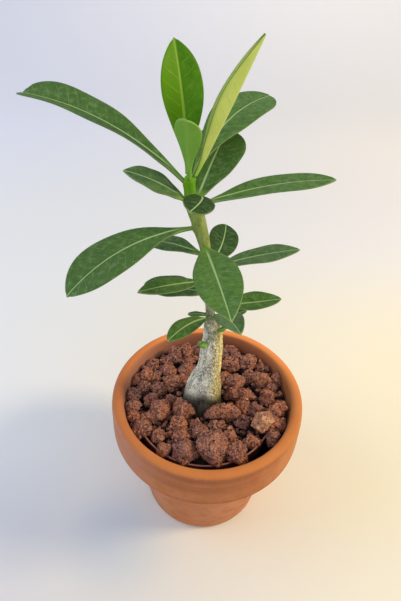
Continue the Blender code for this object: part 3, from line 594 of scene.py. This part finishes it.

# the stones listed one by one, then those on the liner rim and on the grid between
def stoneList(b):
    stones = [(x, y, b["stoneZ"] + lift, w, h, None) for x, y, w, h, lift in handSet]
    x, y, w, h, lift, depth = flatStone
    stones.append((x, y, b["stoneZ"] + lift, w, h, depth))
    taken = [(s[0], s[1], s[3]) for s in stones] + [paleStone[:3]]
    rng = random.Random(b["spreadSeed"])

    def free(x, y, size, gap):
        return all(hypot(x - t[0], y - t[1]) > gap * (size + t[2]) for t in taken)

    def add(x, y, lift, size):
        taken.append((x, y, size))
        stones.append((x, y, b["stoneZ"] + lift, size, size * 0.9, None))

    for k in range(b["rimStones"]):
        turn = radians(b["rimFrom"] + b["rimSweep"] * k / (b["rimStones"] - 1))
        x, y = polar(turn, liner["rim"] + rng.uniform(-1.2, 1.2), liner["x"], liner["y"])
        size = rng.uniform(9.0, 11.5)
        if free(x, y, size, b["rimGap"]):
            add(x, y, b["rimLift"] + rng.uniform(-0.5, 0.8), size)
    for x, y in staggered(b["gridHalf"], b["gridX"], b["gridY"], 1.5, rng):
        size, lift = rng.uniform(7.0, 10.0), rng.uniform(-1.0, 1.0)
        inBed = hypot(x, y) <= (b["frontR"] if atFront(x, y, b) else b["gridR"])
        offTrunk = hypot(x - b["trunkX"], y) >= b["trunkRing"]
        if inBed and offTrunk and free(x, y, size, b["gridGap"]):
            add(x, y, lift, size)
    return stones

# smaller stones that fill the hollows between the large ones
def underStones(b):
    rng = random.Random(b["underSeed"])
    stones = []
    half, pitch = int(b["gridR"] / b["underPitch"]) + 1, b["underPitch"]
    for x, y in staggered(half, pitch, pitch * 0.87, 1.2, rng):
        size, lift = rng.uniform(4.4, 6.4), rng.uniform(-1.2, 0.7)
        inLiner = hypot(x - liner["x"], y - liner["y"])
        outside = hypot(x, y) > b["gridR"] + 1 or (atFront(x, y, b) and inLiner > b["frontLinerR"])
        if outside or hypot(x - b["trunkX"], y) < b["underRing"]:
            continue
        if inLiner > b["linerR"]:
            lift += b["backLift"] if y > b["backUnderFrom"] else b["frontLift"]
        stones.append((x, y, b["underTop"] + lift, size, size * 0.9, None))
    return stones

# directions and quads of a ball made from a cube with n squares along an edge
def ballGrid(n):
    seen, dirs, faces = {}, [], []
    for axis in range(3):
        for sign in (-1, 1):
            index = np.zeros((n + 1, n + 1), dtype=int)
            for i in range(n + 1):
                for j in range(n + 1):
                    p = [0.0, 0.0, 0.0]
                    p[axis] = float(sign)
                    p[(axis + 1) % 3] = tan((2 * i / n - 1) * pi / 4)
                    p[(axis + 2) % 3] = tan((2 * j / n - 1) * pi / 4)
                    key = tuple(round(c, 5) for c in p)
                    if key not in seen:
                        seen[key] = len(dirs)
                        dirs.append(Vector(p).normalized())
                    index[i, j] = seen[key]
            for i in range(n):
                for j in range(n):
                    quad = (index[i, j], index[i + 1, j], index[i + 1, j + 1], index[i, j + 1])
                    faces.append(tuple(int(q) for q in (quad if sign > 0 else quad[::-1])))
    return np.array(dirs), faces

# a stone's faceted form: outward planes about its centre, its half sizes and its turn
def hullPlanes(width, height, seed, b, depth):
    rng = random.Random(seed)
    count = b["smallPoints"] if width < b["largeFrom"] else b["largePoints"]
    width, height = width * b["grow"], height * b["grow"]
    half = Vector((width / 2, (depth or (width + height) / 2) / 2, height / 2))
    turn = 0.0 if depth else rng.uniform(0.0, tau)
    lean = Euler((0.0, rng.uniform(-0.35, 0.35), turn))
    bm = bmesh.new()
    for k in range(count):
        up = 1 - (2 * k + 1) / count
        around = k * pi * (3 - sqrt(5)) + rng.uniform(-0.3, 0.3)
        reach = 1.0 + rng.uniform(-b["jitter"], b["jitter"])
        flat = sqrt(1 - up * up)
        p = Vector((flat * cos(around), flat * sin(around), up)) * reach
        p = Vector((p.x * half.x, p.y * half.y, p.z * half.z))
        p.rotate(lean)
        bm.verts.new(p)
    bmesh.ops.convex_hull(bm, input=bm.verts)
    bmesh.ops.delete(bm, geom=[v for v in bm.verts if not v.link_faces], context="VERTS")
    bm.normal_update()
    normals, offsets = [], []
    for face in bm.faces:
        out, away = face.normal.copy(), face.normal.dot(face.calc_center_median())
        normals.append(-out if away < 0 else out)
        offsets.append(abs(away))
    bm.free()
    return np.array(normals), np.array(offsets), half, lean

# rough surface over the faceted form: eased edges, lumps, knobs and pits
def stoneShape(x, y, z, width, height, seed, b, grid, depth=None, rough=1.0, crisp=1.5):
    normals, offsets, half, lean = hullPlanes(width, height, seed, b, depth)
    dirs = (grid[0] * np.array(half)) @ np.array(lean.to_matrix()).T
    dirs /= np.linalg.norm(dirs, axis=1)[:, None]
    facing = dirs @ normals.T
    reach = np.where(facing > 0.05, offsets / np.maximum(facing, 0.05), 99.0)
    sharp = 60.0 * crisp / width
    radius = -np.log(np.exp(-sharp * reach).sum(axis=1)) / sharp + b["swell"] * rough
    out = np.empty_like(dirs)
    shift = Vector((seed * 3.7, seed * 1.9, seed * 5.3))
    mean = float(radius.mean())
    for k, (d, r) in enumerate(zip(dirs, radius)):
        q = Vector(d * r)
        lumps = noise.noise(q * (1.15 / mean) + shift)
        q += shift
        knob = noise.noise(q * 0.52)
        folds = abs(noise.noise(q * 0.36 + Vector((7, 3, 1))))
        craggy = abs(noise.noise(q * 0.95))
        grit = noise.noise(q * 1.9)
        pit = max(0.0, 1 - noise.voronoi(q * 0.46)[0][0] / 0.42)
        crease = exp(-(folds / 0.07) ** 2) * min(1.0, mean / 4.0)
        relief = 0.22 * mean * lumps + 0.75 * knob - 0.95 * crease - craggy + 0.30 * grit - 1.3 * pit ** 1.2
        out[k] = d * (r + rough * relief)
    return out + np.array((x, y, z))

# points pulled back from the clay wall
def keptInside(points, b):
    reach = np.hypot(points[:, 0], points[:, 1])
    most = b["cavity"] - 0.4 - np.clip((84.0 - points[:, 2]) * 0.14, 0.0, 4.0)
    points[:, :2] *= np.where(reach > most, most / np.maximum(reach, 1e-6), 1.0)[:, None]
    return points

def makeStones(b):
    fine, coarse, small = (ballGrid(b[key]) for key in ("fine", "coarse", "small"))
    mat = lavaPaint(b)
    batches = {"lavaFront": [], "lavaBack": [], "lavaFill": [], "lavaUnder": []}
    for k, stone in enumerate(stoneList(b)):
        if k > len(handSet):
            batches["lavaFill"].append((k, stone, coarse))
        else:
            batches["lavaFront" if stone[1] < b["backFrom"] else "lavaBack"].append((k, stone, fine))
    for k, stone in enumerate(underStones(b)):
        batches["lavaUnder"].append((b["underFrom"] + k, stone, small))
    for name, stones in batches.items():
        verts, faces, tones, shadeAmounts, start = [], [], [], [], 0
        # painted shade: each stone darker towards its lower part, the stones beneath darker still
        shade = b["shadeMid"] + (b["shadeUnder"] if name == "lavaUnder" else 0.0)
        for k, (x, y, z, w, h, depth), grid in stones:
            points = keptInside(stoneShape(x, y, z, w, h, b["seed"] + k, b, grid, depth), b)
            level = (points[:, 2] - z) / (h / 2)
            shadeAmounts += (shade - b["shadeSlope"] * level).clip(0, 1).tolist()
            verts.append(points)
            faces += [tuple(q + start for q in face) for face in grid[1]]
            tone = 1.0 if depth else random.Random(b["toneFrom"] + k).random()
            tones += [tone] * len(points)
            start += len(points)
        extras = {"tone": tones, "shadeAmount": shadeAmounts}
        addPiece(name, np.vstack(verts), faces, mat, "lava_stones", "lava", extras=extras)

def lavaPaint(b):
    coat = Coat("lava", 0.93)
    tone, shadeAmount = coat.value("tone"), coat.value("shadeAmount")
    clouds = coat.grain(180.0, 4.0, 0.6)
    rust = coat.grain(330.0, 3.0, 0.6, (1.0, 1.3, 0.8))
    fine = coat.grain(1000.0, 5.0, 0.7)
    bent = coat.warped(900.0, 1.0)
    # pores of uneven size: the distance to a cell's centre less a girth that varies
    girth = coat.step(coat.grain(620.0, 2.0), 0.40, 0.68, 0.0, 0.52)
    large = coat.step(coat.minus(coat.cells(bent, 760.0), girth), 0.04, -0.10)
    girth = coat.step(coat.grain(900.0, 2.0, 0.5, (1.2, 1.0, 0.9)), 0.42, 0.66, 0.0, 0.5)
    small = coat.step(coat.minus(coat.cells(bent, 1600.0), girth), 0.05, -0.12)
    colour = coat.layers(
        coat.mix(tone, *b["lava"]),
        (clouds, 0.42, 0.62, 0.8, b["cloud"]),
        (rust, 0.52, 0.68, 0.6, b["rust"]),
        (fine, 0.50, 0.66, 0.70, b["glint"]),
        (fine, 0.48, 0.36, 0.45, b["grime"]),
        (coat.times(small, 0.6), b["smallPore"]),
        (coat.times(large, 0.92), b["pore"]),
        # painted shade on the stones' lower parts and in the hollows between them
        (shadeAmount, 0.34, 0.90, 0.95, b["stoneShade"]),
    )
    bumps = ((coat.minus(1.0, large), 1.0, 0.9), (fine, 1.0, 0.9), (coat.minus(1.0, small), 0.8, 0.3))
    return coat.done(colour, *bumps, gloss=0.2)

makeStones(bed)
print("stones made")

# packed grit under the stones, inside the liner and behind it; its dark colour is partly the grit's own and
# partly painted shade in the gaps between the stones
fill = {
    "hole": 11.3, "r": 38.2, "top": 77.6, "rings": 34, "around": 120, "edgeDrop": 0.9, "uneven": 0.7,
    "from": -36.0, "sweep": 252.0, "arcTop": 80.4, "arcR": 47.2, "arcGap": 0.9, "columns": 160, "across": 10,
    "grit": ((40, 26, 30), (86, 52, 46)),
}

def makeFill(f):
    def bumpy(x, y, layer):
        return f["uneven"] * noise.fractal(Vector((x, y, layer)) * 0.45, 0.8, 2.1, 3)

    verts = []
    for k in range(f["rings"] + 1):
        r = f["hole"] + (f["r"] - f["hole"]) * k / f["rings"]
        drop = f["edgeDrop"] if k in (0, f["rings"]) else 0.0
        for i in range(f["around"]):
            turn = tau * i / f["around"]
            x, y = polar(turn, r, liner["x"], liner["y"])
            verts.append((x, y, f["top"] + bumpy(x, y, 3) - drop))
    faces = [q[::-1] for q in ringFaces(f["rings"] + 1, f["around"])]
    start = len(verts)
    across, inner = f["across"], liner["rim"] + f["arcGap"]
    for k in range(f["columns"] + 1):
        turn = radians(f["from"] + f["sweep"] * k / f["columns"])
        for i in range(across + 1):
            r = inner + (f["arcR"] - inner) * i / across
            x, y = polar(turn, r, liner["x"] * (1 - i / across), liner["y"] * (1 - i / across))
            verts.append((x, y, f["arcTop"] + bumpy(x, y, 8)))
    for k in range(f["columns"]):
        for i in range(across):
            a = start + k * (across + 1) + i
            faces.append((a, a + 1, a + across + 2, a + across + 1))
    coat = Coat("grit", 0.95)
    fine = coat.grain(700.0, 5.0, 0.7)
    # the grit's colours are partly its own and partly painted shade, dark in the gaps
    colour = coat.mix(coat.step(fine, 0.4, 0.7), *f["grit"])
    mat = coat.done(colour, (coat.cells(coat.where, 500.0), 0.9, 0.8), (fine, 0.7, 0.4))
    addPiece("lavaGrit", verts, faces, mat, "lava_stones", "lava")

makeFill(fill)

# pale stone at the right front
paleLava = {
    "seed": 5, "grid": 26, "rough": 0.62, "crisp": 2.6,
    "tan": ((236, 176, 132), (182, 118, 88)), "glint": (232, 200, 162), "pore": (92, 58, 54),
}

def makePale(b, p):
    x, y, w, h, lift = paleStone
    grid = ballGrid(p["grid"])
    points = stoneShape(x, y, b["stoneZ"] + lift, w, h, p["seed"], b, grid, None, p["rough"], p["crisp"])
    coat = Coat("paleStone", 0.9)
    clouds = coat.grain(260.0, 4.0, 0.6)
    fine = coat.grain(1300.0, 5.0, 0.7)
    pores = coat.cells(coat.where, 1100.0)
    colour = coat.layers(
        coat.mix(coat.step(clouds, 0.36, 0.62), *p["tan"]),
        (fine, 0.54, 0.70, 0.7, p["glint"]),
        (pores, 0.26, 0.12, 0.8, p["pore"]),
    )
    mat = coat.done(colour, (pores, 0.9, 0.7), (clouds, 0.8, 1.2), (fine, 0.9, 0.5))
    addPiece("paleStone", points, grid[1], mat, "pale_stone", "tan_stone")

makePale(bed, paleLava)
print("grit and pale stone made")

# leaves: sizes in mm, shares of the length and of the half width
leafForm = {
    "stations": 64, "steps": 400, "petiole": 0.95, "petioleTip": 0.35, "rootR": 2.1, "gap": 0.32,
    "baseShare": 0.22, "edge": 0.3, "ripple": 0.4, "rippleShare": 0.018,
    "across": (0.0, 0.03, 0.07, 0.13, 0.22, 0.34, 0.48, 0.62, 0.76, 0.88, 0.96),
}

# points, directions and headings along the midrib
def leafLine(row, form):
    z, az, rise, bend, sway, length = row[:6]
    cx, cy, r = atHeight(min(z, apex))
    here = Vector((*polar(radians(az), 0.9 * max(r, form["rootR"]), cx, cy), z))
    line = []
    for k in range(form["steps"] + 1):
        s = k / form["steps"]
        climb, heading = radians(rise + bend * s), radians(az + sway * s)
        d = Vector((cos(climb) * cos(heading), cos(climb) * sin(heading), sin(climb)))
        line.append((here, d, heading))
        here = here + d * (length / form["steps"])
    return line

def freeOfStem(p, d, form):
    thin = form["petiole"] * sqrt(max(0.0, 1 - d.z * d.z))
    if p.z - thin > apex + 0.3:
        return True
    cx, cy, r = atHeight(min(p.z, apex))
    return hypot(p.x - cx, p.y - cy) > r + form["gap"] + form["petiole"] * abs(d.z)

def makeLeaf(node, row, form):
    length, width, fold, roll, full, tip, kind, tint = row[5:]
    stations, steps = form["stations"], form["steps"]
    line = leafLine(row, form)
    first = next(k for k, (p, d, _) in enumerate(line) if freeOfStem(p, d, form)) / steps
    peak = full / (full + tip)
    top = peak ** full * (1 - peak) ** tip
    f, turn = radians(fold), radians(roll)
    half = list(form["across"])
    us = [-u for u in half[:0:-1]] + half
    rng = random.Random(int(node[-2:]))
    phase, waves = rng.uniform(0, tau), rng.uniform(1.6, 2.6)
    ripple = min(form["ripple"], width * form["rippleShare"])
    verts, mids, rims, runs, faced = [], [], [], [], []
    for k in range(stations + 1):
        ease = 0.5 - 0.5 * cos(pi * k / stations)
        share = 0.35 * k / stations + 0.65 * ease
        s = first * (0.25 if k == 0 else 1.0) + (1 - first) * share
        at = min(steps - 1e-6, s * steps)
        low = int(at)
        p = line[low][0].lerp(line[min(low + 1, steps)][0], at - low)
        _, d, heading = line[low]
        flat = Vector((-sin(heading), cos(heading), 0.0))
        side = flat * cos(turn) + d.cross(flat) * sin(turn)
        face = d.cross(side)
        blade = width / 2 * s ** full * (1 - s) ** tip / top if s < 1 else 0.0
        stalk = form["petiole"] * (1 - s) + form["petioleTip"] * s
        w = hypot(blade, stalk) * (1.0 if share < 0.985 else 0.75)
        body = max(0.0, 1 - share / form["baseShare"])
        core = (form["edge"] + 0.15 + 0.45 * body) * (1.0 - 0.45 * max(0.0, share - 0.6))
        rib = (0.6 * (1 - share) + 0.08) * (1 - body)
        lift = sin(f) * (1 - 0.6 * body)
        roundness = 2.0 + 7.0 * (1 - body)
        for under in (False, True):
            for u in us[::-1] if under else us:
                x = u * w
                thick = core * sqrt(max(0.0, 1 - abs(u) ** roundness))
                wave = sin(phase + waves * tau * share + (u > 0) * 1.7)
                wave *= ripple * (1 - body) * abs(u) ** 2.5
                if under:
                    t = -thick - rib * exp(-(x / 0.62) ** 2)
                else:
                    t = thick - (1 - body) * 0.22 * exp(-(x / 0.5) ** 2)
                place = p + side * (x * cos(f)) + face * (lift * abs(u) ** 1.3 * w + t + wave)
                verts.append(tuple(place))
                mids.append(x)
                rims.append((1 - abs(u)) * w)
                runs.append(share * length)
                faced.append(1.0 if under else 0.0)
    count = 2 * len(us)
    faces = [q[::-1] for q in ringFaces(stations + 1, count)]
    faces.append(tuple(range(count)))
    faces.append(tuple(stations * count + i for i in range(count))[::-1])
    extras = {"mid": mids, "rim": rims, "run": runs, "under": faced,
              "tint": [tint] * len(verts), "span": [length] * len(verts)}
    mat, slotName = leafCoats[kind]
    addPiece(node.replace("leaf_", "leafBlade"), verts, faces, mat, node, slotName, extras=extras)

# blade, midrib, side veins, margin and underside, from distances along and across the blade in mm
def leafPaint(name, look):
    coat = Coat(name, look["rough"])
    mid, rim, run, under, tint, span = map(coat.value, ("mid", "rim", "run", "under", "tint", "span"))
    off = coat.calc("ABSOLUTE", mid)
    share = coat.calc("DIVIDE", run, span)
    soft = coat.grain(110.0, 4.0, 0.6)
    spots = coat.grain(420.0, 4.0, 0.65)
    fine = coat.grain(1500.0, 3.0, 0.6)
    reach = coat.minus(run, coat.times(off, look["slant"]))
    stripe = coat.calc("DIVIDE", coat.plus(reach, coat.times(soft, 4.5)), look["pitch"])
    vein = coat.times(
        coat.step(coat.calc("PINGPONG", stripe, 0.5), 0.07, 0.0), coat.step(rim, 0.2, 2.6),
        coat.step(soft, 0.36, 0.58, 0.15, 1.0), coat.step(off, look["pitch"] * 0.2, look["pitch"] * 0.3),
    )
    ribWide = coat.step(share, 0.0, 1.0, look["ribBase"], look["ribTip"])
    nearRib = coat.calc("SUBTRACT", 1.0, coat.calc("DIVIDE", off, ribWide), True)
    stalk = coat.step(share, 0.17, 0.05)
    blade = coat.layers(
        coat.mix(tint, look["dark"], look["light"]),
        (soft, 0.38, 0.66, look["clouds"], look["cloud"]),
        (spots, 0.50, 0.36, look["mottle"], look["dapple"]),
        (spots, 0.52, 0.66, look["mottle"], look["spot"]),
        (fine, 0.56, 0.68, look["mottle"] * 0.5, look["spot"]),
    )
    # one half of the blade painted lighter, for light shining through it
    if "left" in look:
        blade = coat.mix(coat.step(mid, look["leftFrom"], look["leftTo"]), blade, look["left"])
    blade = coat.layers(
        blade,
        (coat.times(vein, look["veins"]), look["rib"]),
        (coat.times(coat.step(nearRib, 0.10, 0.45), look["ribs"]), look["rib"]),
        (stalk, look["stalk"]),
        (coat.times(coat.step(rim, 0.50, 0.12), look["rims"]), look["margin"]),
    )
    back = coat.layers(
        coat.mix(coat.step(soft, 0.35, 0.65), look["back"], look["backCloud"]),
        (coat.times(vein, 0.5), look["rib"]),
        (off, 1.0, 0.4, 1.0, look["backRib"]),
        (stalk, look["stalk"]),
    )
    coat.feed("Roughness", coat.step(soft, 0.3, 0.7, look["rough"] - 0.06, look["rough"] + 0.1))
    colour = coat.mix(coat.step(under, 0.35, 0.65), blade, back)
    bumps = ((vein, 0.35, 0.25), (spots, 0.25, 0.25), (fine, 0.2, 0.06))
    return coat.done(colour, *bumps, gloss=look["gloss"])

matureLook = {
    "rough": 0.5, "gloss": 0.16, "dark": (57, 85, 39), "light": (90, 128, 52), "clouds": 0.5,
    "cloud": (76, 106, 52), "mottle": 0.5, "spot": (114, 144, 88), "dapple": (56, 90, 38), "slant": 0.75,
    "pitch": 4.3, "veins": 0.24, "rib": (164, 190, 128), "ribBase": 0.68, "ribTip": 0.27, "ribs": 0.95,
    "stalk": (112, 150, 62), "rims": 0.6, "margin": (150, 162, 104), "back": (84, 120, 66),
    "backCloud": (98, 130, 78), "backRib": (158, 184, 108),
}
youngLook = matureLook | {
    "rough": 0.42, "gloss": 0.12, "dark": (68, 119, 8), "light": (82, 135, 11), "clouds": 0.3,
    "cloud": (60, 108, 12), "mottle": 0.3, "spot": (106, 152, 36), "dapple": (54, 102, 6),
    "rib": (142, 174, 58), "ribBase": 0.9, "ribTip": 0.45, "veins": 0.4, "stalk": (128, 176, 48),
    # the left colour paints light shining through that half of the blade
    "left": (90, 138, 8), "leftFrom": -0.3, "leftTo": 0.3, "margin": (120, 160, 60),
    "back": (126, 168, 56), "backCloud": (138, 176, 66), "backRib": (178, 204, 84),
}
freshLook = matureLook | {
    "rough": 0.45, "gloss": 0.2, "dark": (110, 166, 44), "light": (124, 182, 52), "clouds": 0.3,
    "cloud": (114, 170, 50), "mottle": 0.15, "spot": (118, 162, 72), "dapple": (96, 148, 40),
    "rib": (112, 156, 62), "ribs": 0.5, "veins": 0.15, "stalk": (112, 168, 44), "back": (110, 162, 54),
    "backCloud": (122, 172, 64), "backRib": (128, 172, 70),
}
paleLook = matureLook | {
    "rough": 0.48, "dark": (164, 182, 84), "light": (180, 194, 96), "clouds": 0.3,
    "cloud": (170, 186, 90), "mottle": 0.25, "spot": (194, 206, 118), "dapple": (150, 170, 76),
    "rib": (150, 178, 72), "ribs": 0.4, "veins": 0.2, "stalk": (152, 192, 76), "rims": 0.9,
    "margin": (96, 120, 52), "back": (174, 190, 94), "backCloud": (184, 198, 104),
    "backRib": (192, 204, 118),
}
shadeLook = matureLook | {
    "gloss": 0.1, "dark": (40, 66, 24), "light": (60, 92, 36), "cloud": (50, 76, 34),
    "spot": (96, 124, 76), "dapple": (36, 60, 24),
}
# a greyer, lighter green that paints a sheen of light on these leaves
sheenLook = matureLook | {"dark": (74, 98, 66), "light": (100, 130, 74)}
leafCoats = {
    "shade": (leafPaint("leafShade", shadeLook), "leaf_green"),
    "dusty": (leafPaint("leafSheen", sheenLook), "leaf_green"),
    "mature": (leafPaint("leafGreen", matureLook), "leaf_green"),
    "young": (leafPaint("leafYoung", youngLook), "young_leaf"),
    "fresh": (leafPaint("leafFresh", freshLook), "young_leaf"),
    "pale": (leafPaint("leafPale", paleLook), "pale_leaf"),
}
for node, row in leafRows.items():
    makeLeaf(node, row, leafForm)
print("leaves made")

# buds on the trunk: foot, heading, length, thickness
budRows = {
    "bud_1": ((-3.1, -4.2, 130.3), (-0.55, -0.62, 0.56), 5.5, 5.2),
    "bud_2": ((3.75, -2.85, 139.3), (0.55, -0.45, 0.70), 6.0, 3.8),
}
bud = {
    "rings": 26, "sides": 40, "flat": 0.7, "shares": (0.0, 0.15, 0.38, 0.62, 0.85, 1.0),
    "girths": (0.55, 0.78, 1.0, 0.90, 0.55, 0.06),
    "green": ((122, 162, 54), (92, 134, 42)), "split": (60, 92, 36),
}

def makeBud(node, row, b, mat):
    foot, heading, length, thick = row
    axis = Vector(heading).normalized()
    side = axis.cross(Vector((0, 0, 1))).normalized()
    face = side.cross(axis)
    verts, split = [], []
    for k in range(b["rings"] + 1):
        share = k / b["rings"]
        girth = float(np.interp(share, b["shares"], b["girths"]))
        for i in range(b["sides"]):
            a = tau * i / b["sides"]
            notch = exp(-(cos(a) / 0.30) ** 2)
            around = thick / 2 * girth * (1 - 0.36 * notch * share)
            along = length * (share - 0.34 * notch * share ** 3) - 0.8 * (1 - share) ** 4
            p = Vector(foot) + axis * along
            p += (side * cos(a) + face * b["flat"] * sin(a)) * around
            verts.append(tuple(p))
            split.append(notch)
    faces = ringFaces(b["rings"] + 1, b["sides"])
    faces.append(tuple(range(b["sides"]))[::-1])
    faces.append(tuple(b["rings"] * b["sides"] + i for i in range(b["sides"])))
    addPiece(node.replace("bud_", "bud"), verts, faces, mat, node, "bud_green", extras={"split": split})

def budPaint(b):
    coat = Coat("budGreen", 0.5)
    soft = coat.grain(500.0, 4.0, 0.6)
    green = coat.mix(coat.step(soft, 0.35, 0.65), *b["green"])
    colour = coat.mix(coat.times(coat.value("split"), 0.7), green, b["split"])
    return coat.done(colour, (soft, 0.4, 0.2))

budCoat = budPaint(bud)
for node, row in budRows.items():
    makeBud(node, row, bud, budCoat)
print("buds made")

# floor with a curved surround: sizes in mm, heights of the fade in metres, then colours that paint light and
# shade: warm light on the right, cool light on the left, shade beside the pot and a darker floor under the
# key lamp
studio = {
    "flat": 1200.0, "flatShares": (0.0, 0.1, 0.2, 0.4, 0.6, 0.8, 1.0), "curve": 3000.0, "lean": 55.0,
    "bends": 24, "steps": 128, "sink": 0.05, "fadeFrom": 0.5, "fadeTo": 1.15,
    "left": (233, 232, 234), "nearLeft": (215, 214, 221), "distantLeft": (234, 234, 245),
    "right": (245, 233, 207), "farRight": (237, 231, 230), "distant": (249, 241, 233),
    "nearRight": (242, 233, 214), "around": (238, 236, 236), "underLamp": (196, 198, 206),
    "footShade": (0.80, 0.88, 0.98, 1.0),
}

def makeStudio(s):
    profile = [(s["flat"] * share, -s["sink"]) for share in s["flatShares"]]
    for k in range(1, s["bends"] + 1):
        a = radians(s["lean"]) * k / s["bends"]
        profile.append((s["flat"] + s["curve"] * sin(a), s["curve"] * (1 - cos(a)) - s["sink"]))
    faces = ringFaces(len(profile), s["steps"])
    addMesh("floor", lathe(profile, s["steps"]), faces, floorPaint(s))

def floorPaint(s):
    coat = Coat("floorWhite", 0.75)
    cloud = coat.grain(14.0, 4.0, 0.6)
    x, y, z = coat.axes()
    depth = coat.calc("MAXIMUM", coat.calc("ABSOLUTE", coat.plus(y, 0.45)), 0.28)
    aside = coat.plus(coat.calc("DIVIDE", x, depth), coat.times(coat.minus(cloud, 0.5), 0.12))
    # painted light: warm on the right, cool on the left, each changing from near to far
    warmLightPaint = coat.layers(
        coat.mix(coat.step(y, 0.10, 0.36), s["right"], s["farRight"]),
        (y, 0.42, 0.90, 1.0, s["distant"]),
        (y, 0.0, -0.07, 1.0, s["nearRight"]),
    )
    coolLightPaint = coat.mix(coat.step(y, 0.02, -0.07), s["left"], s["nearLeft"])
    coolLightPaint = coat.mix(coat.step(y, 0.35, 0.90), coolLightPaint, s["distantLeft"])
    others = coat.times(coat.step(coat.distance(x, y), 0.6, 1.4), coat.step(y, 0.6, 0.2))
    colour = coat.mix(coat.step(aside, -0.45, 0.40), coolLightPaint, warmLightPaint)
    colour = coat.mix(others, colour, s["around"])
    shade = coat.mix(1.0, colour, s["footShade"], "MULTIPLY")
    colour = coat.mix(coat.step(coat.distance(x, y, (-0.050, -0.045)), 0.045, 0.005), colour, shade)
    # the floor under the key lamp painted darker, against its pool of light
    pool = coat.step(coat.distance(x, y, (1.05, 0.0)), 0.75, 0.15)
    coat.feed("Alpha", coat.step(z, s["fadeTo"], s["fadeFrom"]))
    return coat.done(coat.mix(pool, colour, s["underLamp"]), gloss=0.15)

makeStudio(studio)

# light: place, aim, size, power, colour
lightRows = {
    "keyWarm": ((1.05, -0.02, 0.85), (0.0, 0.0, 0.08), 0.30, 9.8, (1.0, 0.83, 0.45)),
    "coolLeft": ((-1.1, 0.0, 0.9), (-0.2, 0.1, 0.0), 0.9, 5.6, (0.68, 0.80, 1.0)),
    "front": ((0.1, -0.9, 1.0), (0.0, 0.0, 0.12), 0.9, 1.9, (0.92, 0.95, 1.0)),
    "backWash": ((0.4, 2.0, 2.2), (0.5, 3.6, 0.5), 1.6, 20.0, (1.0, 0.96, 0.90)),
    "frontWash": ((0.0, -2.0, 2.2), (0.0, -3.6, 0.5), 1.6, 20.0, (1.0, 0.97, 0.92)),
    "leftWash": ((-2.0, 0.0, 2.2), (-3.6, 0.0, 0.5), 1.6, 18.0, (0.94, 0.97, 1.0)),
    "rightWash": ((2.0, 0.0, 2.2), (3.6, 0.0, 0.5), 1.6, 20.0, (1.0, 0.96, 0.88)),
}
air = {"colour": (0.82, 0.89, 1.0, 1.0), "strength": 0.565}
for name, (at, aim, size, power, colour) in lightRows.items():
    lamp = bpy.data.lights.new(name, "AREA")
    lamp.size = size
    lamp.energy = power
    lamp.color = colour
    obj = bpy.data.objects.new(name, lamp)
    obj.location = at
    obj.visible_camera = False
    obj.rotation_euler = (Vector(aim) - Vector(at)).to_track_quat("-Z", "Y").to_euler()
    scene.collection.objects.link(obj)
world = bpy.data.worlds.new("studioAir")
scene.world = world
world.use_nodes = True
sky = world.node_tree.nodes["Background"]
sky.inputs["Color"].default_value = air["colour"]
sky.inputs["Strength"].default_value = air["strength"]
print("floor and light made")

# camera: place and axes in metres, lens in mm
view = {
    "at": (-0.006342, -0.152307, 0.272538), "right": (0.9990558, 0.0264958, 0.0344303),
    "up": (-0.0434450, 0.6092927, 0.7917543), "back": (0.0, -0.7925026, 0.6098686), "lens": 23.96,
    "sensor": 36.0, "clip": (0.01, 20.0),
}
lens = bpy.data.cameras.new("viewCamera")
lens.sensor_width = view["sensor"]
lens.lens = view["lens"]
lens.clip_start, lens.clip_end = view["clip"]
camera = bpy.data.objects.new("viewCamera", lens)
scene.collection.objects.link(camera)
turn = Matrix([view[key] for key in ("right", "up", "back")]).transposed().to_4x4()
camera.matrix_world = Matrix.Translation(view["at"]) @ turn
scene.camera = camera
